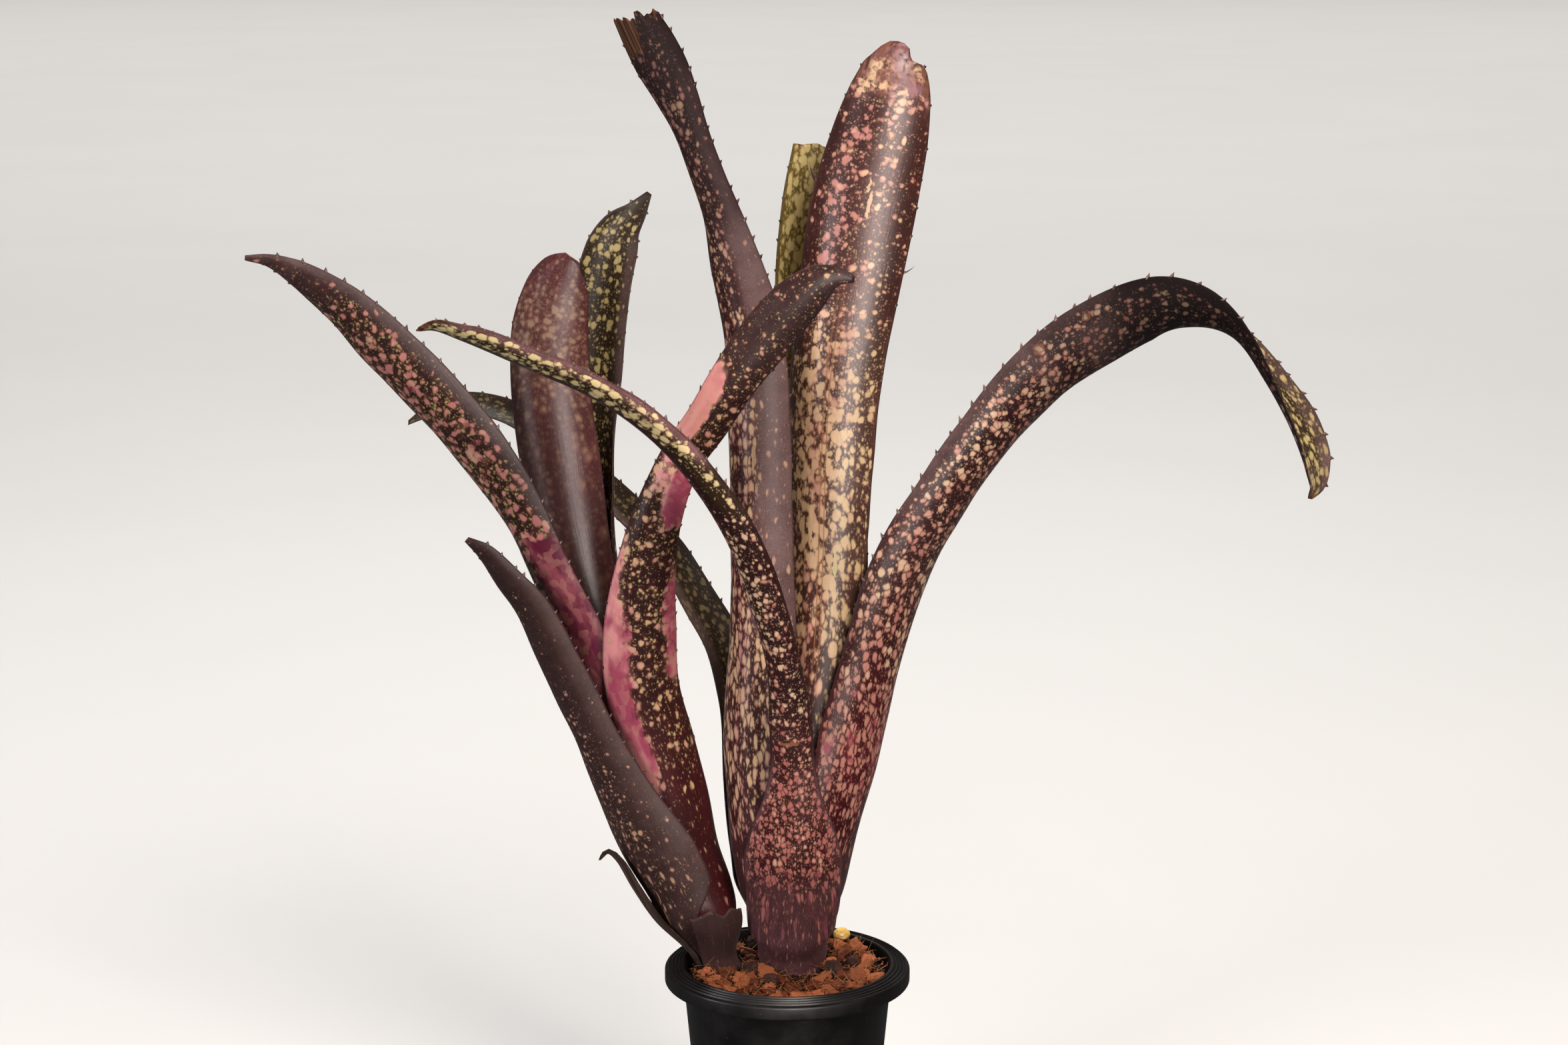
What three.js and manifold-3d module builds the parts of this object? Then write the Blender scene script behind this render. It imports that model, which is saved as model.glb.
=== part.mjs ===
import * as THREE from 'three';
import Module from 'manifold-3d';
import { mergeVertices } from 'three/addons/utils/BufferGeometryUtils.js';

// A hallelujah billbergia in a nursery pot: a tubular bromeliad with a main shoot and one offset.
// Millimetres, +Z up, X to the right and Y away from the front, origin at the centre of the pot's base.

// Pot
const potHeight = 82;
const rimRadius = 45;
const mouthRadius = 38;
const lipHeight = 4.6;
const flangeRise = 2.4;
const cornerBreak = 0.8;
const bodyTopRadius = 38.2;
const bodyFootRadius = 31;
const wallThickness = 1.1;
const floorThickness = 1.8;
const drainRadius = 3.2;
const drainCircle = 20;
const drainCount = 6;
const potSides = 40;

// Potting mix, its mulch of husk chips, and what lies in it
const mixTop = 75;
const mulchFloor = 75.4;
const mulchTop = 77.6;
const chipCount = 40;
const chipSeed = 41;
const clearance = 0.3;
const shootRoom = 0.5;

// Crown
const crownFloor = 62;
const rhizomeHeight = 65;
const rhizomeRadius = 2.4;
const rootTop = 66;
const roots = [
  { shoot: 'main', angle: 0.3, reach: 14, depth: 26 },
  { shoot: 'main', angle: 1.5, reach: 11, depth: 34 },
  { shoot: 'main', angle: 2.9, reach: 9, depth: 22 },
  { shoot: 'main', angle: 4.4, reach: 13, depth: 30 },
  { shoot: 'main', angle: 5.5, reach: 15, depth: 36 },
  { shoot: 'offset', angle: 4.0, reach: 6, depth: 24 },
  { shoot: 'offset', angle: 1.8, reach: 8, depth: 30 },
];

// Shoots: where each one's rosette of sheaths stands, and how it opens at the pot's mouth
const footHeight = 69;
const mouthHeight = 82;
const cupHeight = 95;
const mainShoot = { foot: [2.2, 10], mouth: [2.0, 10], flare: 1.0, radius: 12.3, cupRadius: 16.5, corm: 4.2 };
const offsetShoot = { foot: [-24.7, 9], mouth: [-27, 9], flare: 0.4, radius: 8.9, cupRadius: 12.9, corm: 1.6 };
const cupCentres = new Map([[mainShoot, [1.7, 10]], [offsetShoot, [-30.6, 9.4]]]);

// Leaves
const midThickness = 1.0;
const marginThickness = 0.7;
const columns = 8;
const rowPitch = 23;
const spineBase = 2.6;
const spineLength = 2.3;
const spineLean = 1.3;

const skin = { dark: 0x4a3338, pink: 0xa8737a, olive: 0x5c5a35, grey: 0x554a4c, dried: 0x6a5a4a };

const wasm = await Module();
wasm.setup();

function solidOf(geometry) {
  const bare = geometry.clone();
  bare.deleteAttribute('normal');
  bare.deleteAttribute('uv');
  const merged = mergeVertices(bare);
  return new wasm.Manifold(new wasm.Mesh({
    numProp: 3,
    vertProperties: Float32Array.from(merged.attributes.position.array),
    triVerts: Uint32Array.from(merged.index.array),
  }));
}

function geometryOf(solid) {
  const { vertProperties, triVerts } = solid.getMesh();
  const geometry = new THREE.BufferGeometry();
  geometry.setAttribute('position', new THREE.BufferAttribute(Float32Array.from(vertProperties), 3));
  geometry.setIndex(Array.from(triVerts));
  return geometry;
}

function lathe(profile, sides) {
  const geometry = new THREE.LatheGeometry(profile.map(([r, z]) => new THREE.Vector2(r, z)), sides);
  return geometry.rotateX(Math.PI / 2);
}

function cylinder(radius, low, high, sides, x = 0, y = 0) {
  const geometry = new THREE.CylinderGeometry(radius, radius, high - low, sides);
  return geometry.rotateX(Math.PI / 2).translate(x, y, (low + high) / 2);
}

// A closed tube through circles given as [x, y, z, radius].
function loft(circles, sides) {
  const points = [];
  const faces = [];
  for (const [x, y, z, radius] of circles) {
    for (let i = 0; i < sides; i++) {
      const angle = (i / sides) * 2 * Math.PI;
      points.push(x + radius * Math.cos(angle), y + radius * Math.sin(angle), z);
    }
  }
  for (let j = 0; j < circles.length - 1; j++) {
    for (let i = 0; i < sides; i++) {
      const a = j * sides + i;
      const b = j * sides + ((i + 1) % sides);
      faces.push(a, b, b + sides, a, b + sides, a + sides);
    }
  }
  const top = (circles.length - 1) * sides;
  for (let i = 1; i < sides - 1; i++) {
    faces.push(0, i + 1, i);
    faces.push(top, top + i, top + i + 1);
  }
  return closedGeometry(points, faces);
}

function closedGeometry(points, faces) {
  const geometry = new THREE.BufferGeometry();
  geometry.setAttribute('position', new THREE.Float32BufferAttribute(points, 3));
  geometry.setIndex(faces);
  return geometry;
}

function seededRandom(seed) {
  let state = seed;
  return () => {
    state = (state * 1664525 + 1013904223) % 4294967296;
    return state / 4294967296;
  };
}

const radians = THREE.MathUtils.degToRad;

// Direction that a leaf's back faces in plan: 0 to the front, 90 to the right, 180 away.
function facingDirection(facing) {
  return new THREE.Vector3(Math.sin(radians(facing)), -Math.cos(radians(facing)), 0);
}

// Pot

function potGeometry() {
  const lipBottom = potHeight - flangeRise - lipHeight;
  const innerFoot = bodyFootRadius - wallThickness;
  const profile = [
    [0, 0], [bodyFootRadius - cornerBreak, 0], [bodyFootRadius, cornerBreak], [bodyTopRadius, lipBottom + 0.2],
    [rimRadius - cornerBreak, lipBottom], [rimRadius, lipBottom + cornerBreak],
    [rimRadius, potHeight - flangeRise - 0.2], [rimRadius - 0.7, potHeight - flangeRise + 0.5],
    [mouthRadius + 0.5, potHeight], [mouthRadius - 0.1, potHeight - 0.4],
    [bodyTopRadius - wallThickness, lipBottom], [innerFoot, floorThickness + cornerBreak],
    [innerFoot - cornerBreak, floorThickness], [0, floorThickness],
  ];
  let pot = solidOf(lathe(profile, potSides));
  for (let i = 0; i < drainCount; i++) {
    const angle = ((i + 0.5) / drainCount) * 2 * Math.PI;
    const x = drainCircle * Math.cos(angle);
    const y = drainCircle * Math.sin(angle);
    pot = pot.subtract(solidOf(cylinder(drainRadius, -1, floorThickness + 1, 10, x, y)));
  }
  return geometryOf(pot);
}

// Crown: the two corms that the sheaths grow from, the rhizome between them and the roots

// A root narrows on its way out and down from under its shoot.
function rootCircles({ shoot, angle, reach, depth }, grow) {
  const [x, y] = (shoot === 'main' ? mainShoot : offsetShoot).foot;
  const dx = Math.cos(angle);
  const dy = Math.sin(angle);
  return [
    [x + dx * reach, y + dy * reach, rootTop - depth - grow, 0.6 + grow],
    [x + dx * reach * 0.9, y + dy * reach * 0.9, rootTop - depth * 0.7, 0.9 + grow],
    [x + dx * reach * 0.6, y + dy * reach * 0.6, rootTop - depth * 0.3, 1.1 + grow],
    [x + dx * reach * 0.2, y + dy * reach * 0.2, rootTop, 1.3 + grow],
  ];
}

function crownSolid(grow) {
  const top = footHeight - 0.35;
  let crown = null;
  const join = (geometry) => {
    crown = crown ? crown.add(solidOf(geometry)) : solidOf(geometry);
  };
  for (const shoot of [mainShoot, offsetShoot]) {
    const [x, y] = shoot.foot;
    join(cylinder(shoot.radius - 0.3 + grow, crownFloor - grow, top + grow, 20, x, y));
    join(cylinder(shoot.corm, top - 1, mixTop - 0.5, 12, x, y));
  }
  const from = new THREE.Vector3(...mainShoot.foot, rhizomeHeight);
  const to = new THREE.Vector3(...offsetShoot.foot, rhizomeHeight);
  const radius = rhizomeRadius + grow;
  const rhizome = new THREE.CylinderGeometry(radius, radius, from.distanceTo(to), 10);
  rhizome.applyQuaternion(new THREE.Quaternion().setFromUnitVectors(
    new THREE.Vector3(0, 1, 0), to.clone().sub(from).normalize()));
  join(rhizome.translate((from.x + to.x) / 2, (from.y + to.y) / 2, rhizomeHeight));
  for (const root of roots) {
    join(loft(rootCircles(root, grow), 5));
  }
  return crown;
}

// Potting mix and mulch

function shootHole(shoot) {
  const [x, y] = shoot.foot;
  return solidOf(cylinder(shoot.radius + shootRoom, crownFloor - 0.6, mixTop + 1, 24, x, y));
}

// The room that a shoot's sheaths take up where they rise out of the mulch.
function shootEnvelope(shoot) {
  const [fx, fy] = shoot.foot;
  const [mx, my] = shoot.mouth;
  const [cx, cy] = cupCentres.get(shoot);
  const radius = shoot.radius + shootRoom;
  return solidOf(loft([
    [fx, fy, mixTop - 2, radius], [fx, fy, mixTop + 1, radius],
    [mx, my, mouthHeight, radius + shoot.flare + 0.3], [cx, cy, cupHeight, shoot.cupRadius + shootRoom],
  ], 24));
}

function mixGeometry() {
  const wall = clearance + wallThickness;
  const bottom = floorThickness + clearance;
  const profile = [
    [0, bottom], [bodyFootRadius - wall - 0.9, bottom], [bodyFootRadius - wall, bottom + 1],
    [bodyTopRadius - wall - 0.1, mixTop - 0.6], [bodyTopRadius - wall - 0.8, mixTop], [0, mixTop],
  ];
  let mix = solidOf(lathe(profile, potSides));
  mix = mix.subtract(crownSolid(clearance));
  for (const shoot of [mainShoot, offsetShoot]) {
    mix = mix.subtract(shootHole(shoot));
  }
  return geometryOf(mix);
}

// How high the chips are heaped: more behind and to the right of the main shoot.
function mulchHeight(x, y) {
  return mulchTop + 1.2 + 2.6 * Math.exp(-((x - 22) ** 2 + (y - 20) ** 2) / 260);
}

function chipGeometry(random, x, y) {
  const length = 7 + 6 * random();
  const width = 4 + 3 * random();
  const height = 3.2 + 2 * random();
  const chip = new THREE.BoxGeometry(length, width, height);
  const corners = chip.attributes.position;
  const taper = 0.55 + 0.3 * random();
  for (let i = 0; i < corners.count; i++) {
    const end = corners.getX(i) > 0 ? taper : 1;
    const upper = corners.getZ(i) > 0 ? 0.72 : 1;
    corners.setY(i, corners.getY(i) * end * upper);
    corners.setX(i, corners.getX(i) * upper);
  }
  chip.rotateX(radians(50 * (random() - 0.5)));
  chip.rotateY(radians(60 * (random() - 0.5)));
  chip.rotateZ(2 * Math.PI * random());
  return chip.translate(x, y, mulchHeight(x, y) + 1.6 * (random() - 0.4));
}

const nuggets = [
  { name: 'nugget_1', at: [-13.4, -1.6, 79.4], size: 3.1, turn: 0.4 },
  { name: 'nugget_2', at: [16.8, -3.0, 79.8], size: 3.6, turn: 1.1 },
  { name: 'nugget_3', at: [24.0, 3.5, 80.0], size: 2.6, turn: 2.3 },
  { name: 'nugget_4', at: [-6.0, -13.5, 79.2], size: 2.8, turn: 3.0 },
  { name: 'nugget_5', at: [-12.5, 26.0, 79.6], size: 3.2, turn: 4.2 },
];
const pellet = { name: 'feed_pellet', at: [20.4, 24.6, 83.6], size: 2.9 };
const pelletSeat = { size: [11, 8, 5.4], drop: 4.6, lean: 0.14 };

function nuggetGeometry({ at, size, turn = 0 }, grow) {
  const lump = new THREE.IcosahedronGeometry(size + grow, 1);
  lump.scale(1.12, 0.95, 0.84).rotateZ(turn).rotateX(turn * 0.6);
  return lump.translate(...at);
}

// The chip that the pellet lies on.
function seatGeometry() {
  const [x, y, z] = pellet.at;
  return new THREE.BoxGeometry(...pelletSeat.size).rotateX(pelletSeat.lean).rotateZ(Math.PI / 4)
    .translate(x, y, z - pelletSeat.drop);
}

function mulchGeometry() {
  const random = seededRandom(chipSeed);
  const reach = mouthRadius - 1.6;
  const bed = [
    [0, mulchFloor], [reach - 0.4, mulchFloor], [reach, mulchTop - 0.4], [reach - 0.6, mulchTop], [0, mulchTop],
  ];
  const pieces = [solidOf(lathe(bed, potSides)), solidOf(seatGeometry())];
  let placed = 0;
  while (placed < chipCount) {
    const radius = (reach - 1) * Math.sqrt(random());
    const angle = 2 * Math.PI * random();
    const x = radius * Math.cos(angle);
    const y = radius * Math.sin(angle);
    const inShoot = [mainShoot, offsetShoot].some(({ mouth, radius: r }) =>
      Math.hypot(x - mouth[0], y - mouth[1]) < r - 1);
    if (!inShoot) {
      pieces.push(solidOf(chipGeometry(random, x, y)));
      placed += 1;
    }
  }
  let mulch = wasm.Manifold.union(pieces);
  const room = [[0, mulchFloor], [reach - 0.3, mulchFloor], [mouthRadius - 0.9, 81], [36, 90], [0, 90]];
  mulch = mulch.intersect(solidOf(lathe(room, potSides)));
  for (const shoot of [mainShoot, offsetShoot]) {
    mulch = mulch.subtract(shootEnvelope(shoot));
  }
  for (const lump of nuggets) {
    mulch = mulch.subtract(solidOf(nuggetGeometry(lump, clearance)));
  }
  mulch = mulch.subtract(solidOf(nuggetGeometry(pellet, clearance)));
  const bodies = mulch.decompose().sort((a, b) => b.volume() - a.volume());
  return geometryOf(bodies[0]);
}

// Leaves
// A leaf is a strip bent along its path and curled across like a gutter. Its foot is a sheath that
// wraps the shoot at radius ring, over wrap degrees to each side of the way it faces.
// cup rows are rings of the sheath: height, centre x, centre y, radius, curl, facing.
// blade rows are places on its midrib: x, y, z, flat width, curl, turn of its back from the front.

const mainLeaves = [
  { name: 'leaf_main_front', colour: skin.pink, ring: 11.8, wrap: 80, facing: 0, spinesFrom: 5,
    cup: [[95, 1.7, 10, 16.7, 74, 0], [108, 2.2, 11.5, 21, 55, 0], [122, 2, 11, 24, 47, 0], [134, 2, 10, 24, 39, 0]],
    blade: [[2, -15, 148, 21.5, 33, 0], [2, -16, 161, 16.6, 40, 0], [1, -18, 176, 16.9, 50, -3],
      [-2, -22, 199, 14.5, 60, -10], [-9, -27, 224, 16, 62, -22], [-19, -32, 248, 18, 64, -40],
      [-35, -37, 272, 20, 64, -56], [-48, -41, 286, 23, 64, -66], [-66, -48, 300, 24.5, 62, -72],
      [-87, -55, 311, 25, 58, -74], [-109, -62, 322, 23, 50, -74], [-118, -66, 326, 15, 40, -74],
      [-123, -68, 326, 3, 20, -70]] },
  { name: 'leaf_main_left', colour: skin.dark, ring: 8.6, wrap: 100, facing: -35, spinesFrom: 2,
    cup: [[95, 0.8, 10.3, 12.7, 88, -35], [108, -1, 12, 16.6, 85, -35], [122, -0.5, 12.3, 19.8, 78, -35],
      [148, -5, 13, 17.3, 70, -35]],
    blade: [[-15, 0, 169, 44.7, 68, -35], [-14, 2, 205, 36.1, 68, -35], [-14, 3, 242, 33.4, 66, -35],
      [-14, 4, 278, 31.5, 60, -32], [-15, 6, 314, 27.3, 52, -28], [-20, 7, 337, 22.9, 48, -25],
      [-26, 8, 356, 19.2, 58, -35], [-34, 8, 377, 18.3, 66, -40], [-40, 8, 395, 18.9, 52, -28],
      [-46, 8, 409, 20.4, 42, -18], [-54, 8, 426, 17, 36, -12]] },
  { name: 'leaf_main_centre', colour: skin.pink, ring: 5.4, wrap: 105, facing: -14, spinesFrom: 1,
    cup: [[95, 2.2, 10.5, 9.5, 90, -14], [108, 2.5, 12, 11.5, 82, -14], [122, 3.5, 13.5, 12.5, 72, -14],
      [148, 6, 16.5, 13.5, 62, -14]],
    blade: [[10, 4, 192, 30.9, 58, -14], [12, 5, 229, 33.9, 56, -18], [13, 6, 266, 36.5, 52, -20],
      [15, 7, 300, 39.2, 50, -20], [21, 9, 338, 41.9, 46, -18], [26, 10, 362, 41.6, 43, -15],
      [32, 12, 384, 36.9, 40, -12], [36, 13, 399, 30.3, 35, -10], [38, 14, 407, 23.7, 30, -8],
      [39.5, 14, 412, 13, 22, -8], [42, 14, 414.5, 2.5, 15, -8]] },
  { name: 'leaf_main_back', colour: skin.olive, ring: 7, wrap: 98, facing: 180, spinesFrom: 2,
    cup: [[95, 2.2, 10, 11.1, 88, 180], [108, 2.5, 11.5, 13.5, 80, 180], [122, 3.5, 14, 14.5, 70, 180]],
    blade: [[7, 36, 146, 30, 60, 180], [11, 38, 184, 32.4, 58, 180], [14, 40, 219, 35.7, 55, 180],
      [12, 41, 284, 36.4, 52, 180], [11, 40, 328, 34.3, 48, 180], [12, 39, 357, 30.4, 45, 180],
      [14, 38, 378, 25.5, 40, 180]] },
  { name: 'leaf_main_right', colour: skin.dark, ring: 10.1, wrap: 76, facing: 60, spinesFrom: 3,
    cup: [[95, 2.0, 10.1, 14.1, 72, 60], [108, 3.3, 10, 17.4, 72, 60], [122, 4.2, 9.8, 19.6, 75, 60],
      [134, 8, 11.5, 18.8, 72, 60]],
    blade: [[29.5, 4, 153, 47, 68, 58], [32, 4, 169, 44.3, 66, 52], [36, 4, 191, 37.4, 64, 45],
      [46, 4, 227, 34.9, 60, 38], [59, 5, 252, 30.9, 58, 34], [74, 6, 275, 29.4, 54, 30],
      [93, 7, 297, 30.8, 50, 26], [111, 9, 310, 31.8, 48, 24], [132, 12, 318, 32.2, 46, 32],
      [146, 14, 317, 31, 46, 55], [160, 15, 311, 25, 46, 86], [171, 14, 297, 24.7, 44, 104],
      [181, 12, 281, 26.3, 42, 114], [188, 11, 266, 21, 38, 125], [190, 11, 258, 10.7, 28, 130],
      [188, 11, 253, 2.5, 15, 130]] },
  { name: 'leaf_main_far', colour: skin.olive, ring: 10.2, wrap: 60, facing: -150, spinesFrom: 1,
    cup: [[95, 1.4, 10.2, 14.5, 60, -150], [108, -0.5, 12.8, 18.6, 58, -150], [122, -1.3, 14.8, 20, 55, -150],
      [148, -6, 20, 18, 50, -150]],
    blade: [[-20, 32, 175, 19, 50, -150], [-25, 36, 193, 17, 46, -148], [-33, 42, 206, 16, 44, -145],
      [-46, 51, 225, 15, 42, -140], [-64, 62, 241, 14, 40, -135], [-84, 72, 257, 13.5, 38, -130],
      [-107, 84, 271, 13, 36, -125], [-125, 92, 273, 12, 34, -120], [-139, 97, 269, 7, 25, -118],
      [-146, 99, 265, 2.5, 20, -118]] },
];

const offsetLeaves = [
  { name: 'leaf_offset_outer', colour: skin.grey, ring: 6.65, wrap: 42, facing: -45, spinesFrom: 2,
    cup: [[95, -31.5, 10.5, 13.3, 45, -45], [106, -33, 16.3, 19.4, 62, -42]],
    blade: [[-53, 1, 120, 44, 58, -40], [-62, 0, 142, 31.9, 50, -36], [-71, -2, 165, 22.8, 48, -33],
      [-82, -4, 191, 20.4, 45, -30], [-93, -6, 216, 16.8, 42, -30], [-100, -7, 226, 13, 38, -30],
      [-108, -8, 237, 7.8, 32, -28], [-114, -8, 242, 2.4, 20, -25]] },
  { name: 'leaf_offset_cross', colour: skin.pink, ring: 5.3, wrap: 88, facing: 20, spinesFrom: 3,
    cup: [[95, -29, 10.6, 10, 78, 20], [106, -34, 15, 13.3, 66, 20]],
    blade: [[-35, 3, 120, 33.2, 62, 22], [-39, 2, 141, 31.2, 58, 20], [-44, 0, 161, 29.4, 55, 16],
      [-51, -4, 185, 30.7, 52, 12], [-52, -8, 209, 29.3, 52, 8], [-50, -12, 231, 24.1, 52, 5],
      [-46, -16, 251, 19.3, 50, 0], [-38, -20, 272, 16.5, 48, -5], [-28, -23, 287, 17.1, 46, -5],
      [-19, -26, 302, 18.1, 44, -5], [-8, -28, 317, 19.7, 42, -5], [2, -30, 329, 18.4, 40, -5],
      [11, -31, 337, 13.1, 35, -5], [17, -31, 339, 6.6, 25, -5], [23, -31, 338, 2, 15, -5]] },
  { name: 'leaf_offset_long', colour: skin.dark, ring: 3.95, wrap: 88, facing: -60, spinesFrom: 2,
    cup: [[95, -30.4, 10.8, 7.8, 80, -58], [106, -35.5, 15.5, 10.6, 68, -52]],
    blade: [[-49, 8.6, 121, 26, 58, -48], [-60, 8, 152, 31.8, 58, -45], [-71, 5, 183, 28.1, 52, -42],
      [-79, 3, 206, 26, 48, -40], [-89, 1, 230, 22.5, 46, -38], [-95, 0, 245, 22.5, 44, -36],
      [-105, -1, 262, 26.2, 42, -34], [-116, -2, 278, 27, 40, -32], [-130, -3, 295, 26.6, 38, -30],
      [-143, -4, 309, 25.6, 36, -30], [-158, -4, 325, 19.2, 33, -28], [-174, -4, 337, 10.2, 28, -25],
      [-182, -4, 341, 4.8, 20, -22], [-190, -4, 342, 1.6, 15, -20]] },
  { name: 'leaf_offset_upright', colour: skin.dark, ring: 2.6, wrap: 80, facing: -10, spinesFrom: 3,
    cup: [[95, -30, 10.8, 5.6, 74, -10], [106, -34.5, 16, 7, 66, -10]],
    blade: [[-41, 11, 121, 17, 62, -10], [-50, 14, 139, 19.6, 58, -10], [-62, 17.4, 173, 24, 56, -10],
      [-74, 20, 213, 27.4, 54, -10], [-80, 22, 238, 31, 52, -10], [-84, 23, 262, 33.9, 50, -10],
      [-87, 24, 287, 33, 48, -10], [-87, 25, 311, 31.2, 44, -10], [-83.5, 26, 327, 25.2, 40, -10],
      [-80.5, 26, 334, 17.4, 34, -10], [-77.5, 26, 338.5, 5.5, 20, -10]] },
  { name: 'leaf_offset_pointed', colour: skin.olive, ring: 2.6, wrap: 85, facing: 170, spinesFrom: 2,
    cup: [[95, -29.4, 11.2, 6, 82, 170], [106, -33, 17, 7.2, 86, 170]],
    blade: [[-40, 28.5, 122, 24, 95, 170], [-54, 33, 160, 26.8, 100, 170], [-64, 37, 195, 27.9, 104, 170],
      [-70, 40, 229, 29.6, 102, 170], [-72, 42, 254, 31, 90, 170], [-72, 43, 274, 28.7, 76, 170],
      [-70, 43, 297, 26.5, 60, 170], [-67, 42, 323, 23.7, 50, 170], [-63, 41, 340, 20.5, 42, 170],
      [-60, 41, 347, 15.6, 35, 170], [-55, 41, 353, 8.6, 28, 170], [-50, 41, 360, 1.8, 15, 170]] },
  { name: 'leaf_offset_dried', colour: skin.dried, ring: 8.4, wrap: 35, facing: -80, spinesFrom: 9,
    cup: [[95, -33, 10.5, 15.8, 32, -80]],
    blade: [[-56.5, 8, 107, 14, 32, -75], [-62.5, 7.5, 118, 10, 28, -70], [-66, 5.5, 121.5, 6, 20, -60],
      [-69, 4, 119, 2, 15, -60]] },
  { name: 'leaf_offset_stub', colour: skin.grey, ring: 8.4, wrap: 48, facing: 20, spinesFrom: 9,
    cup: [[95, -28, 8.6, 14, 40, 15], [103, -29.5, 9.5, 17, 34, 12]],
    blade: [] },
];

function cupStation([z, x, y, radius, curl, facing]) {
  const at = facingDirection(facing).multiplyScalar(radius).add(new THREE.Vector3(x, y, z));
  return { at, form: new THREE.Vector3(2 * radians(curl) * radius, curl, facing) };
}

function bladeStation([x, y, z, width, curl, turn]) {
  return { at: new THREE.Vector3(x, y, z), form: new THREE.Vector3(width, curl, turn) };
}

function leafStations(shoot, leaf) {
  const sheath = [
    [footHeight, ...shoot.foot, leaf.ring, leaf.wrap, leaf.facing],
    [mixTop, ...shoot.foot, leaf.ring, leaf.wrap, leaf.facing],
    [mouthHeight, ...shoot.mouth, leaf.ring + shoot.flare, leaf.wrap, leaf.facing],
  ];
  return [...sheath, ...leaf.cup].map(cupStation).concat(leaf.blade.map(bladeStation));
}

// Sections along a leaf: where its midrib is, its axes, its radius and its half angle of curl.
function leafSections(stations) {
  const path = new THREE.CatmullRomCurve3(stations.map(({ at }) => at), false, 'centripetal');
  const form = new THREE.CatmullRomCurve3(stations.map((station) => station.form), false, 'centripetal');
  const spans = stations.length - 1;
  const sections = [];
  for (let span = 0; span < spans; span++) {
    const rows = Math.max(1, Math.round(stations[span].at.distanceTo(stations[span + 1].at) / rowPitch));
    for (let row = 0; row < rows; row++) {
      sections.push(leafSection(path, form, (span + row / rows) / spans, span));
    }
  }
  sections.push(leafSection(path, form, 1, spans));
  return sections;
}

function leafSection(path, form, t, span) {
  const centre = path.getPoint(t);
  const along = path.getTangent(t);
  const { x: width, y: curl, z: turn } = form.getPoint(t);
  const front = new THREE.Vector3(0, -1, 0);
  front.addScaledVector(along, -front.dot(along)).normalize();
  const side = new THREE.Vector3().crossVectors(along, front);
  const back = front.multiplyScalar(Math.cos(radians(turn))).addScaledVector(side, Math.sin(radians(turn)));
  const across = new THREE.Vector3().crossVectors(along, back);
  const half = radians(curl);
  return { centre, along, back, across, half, radius: width / (2 * half), span };
}

// A point of a section: place runs from -1 at the left margin to 1 at the right one.
function sectionPoint({ centre, back, across, half, radius }, place, lift) {
  const angle = place * half;
  const reach = radius + lift;
  return centre.clone()
    .addScaledVector(back, reach * Math.cos(angle) - radius)
    .addScaledVector(across, reach * Math.sin(angle));
}

function marginDirection({ back, across, half }, sideSign) {
  return across.clone().multiplyScalar(sideSign * Math.cos(half)).addScaledVector(back, -Math.sin(half));
}

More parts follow.
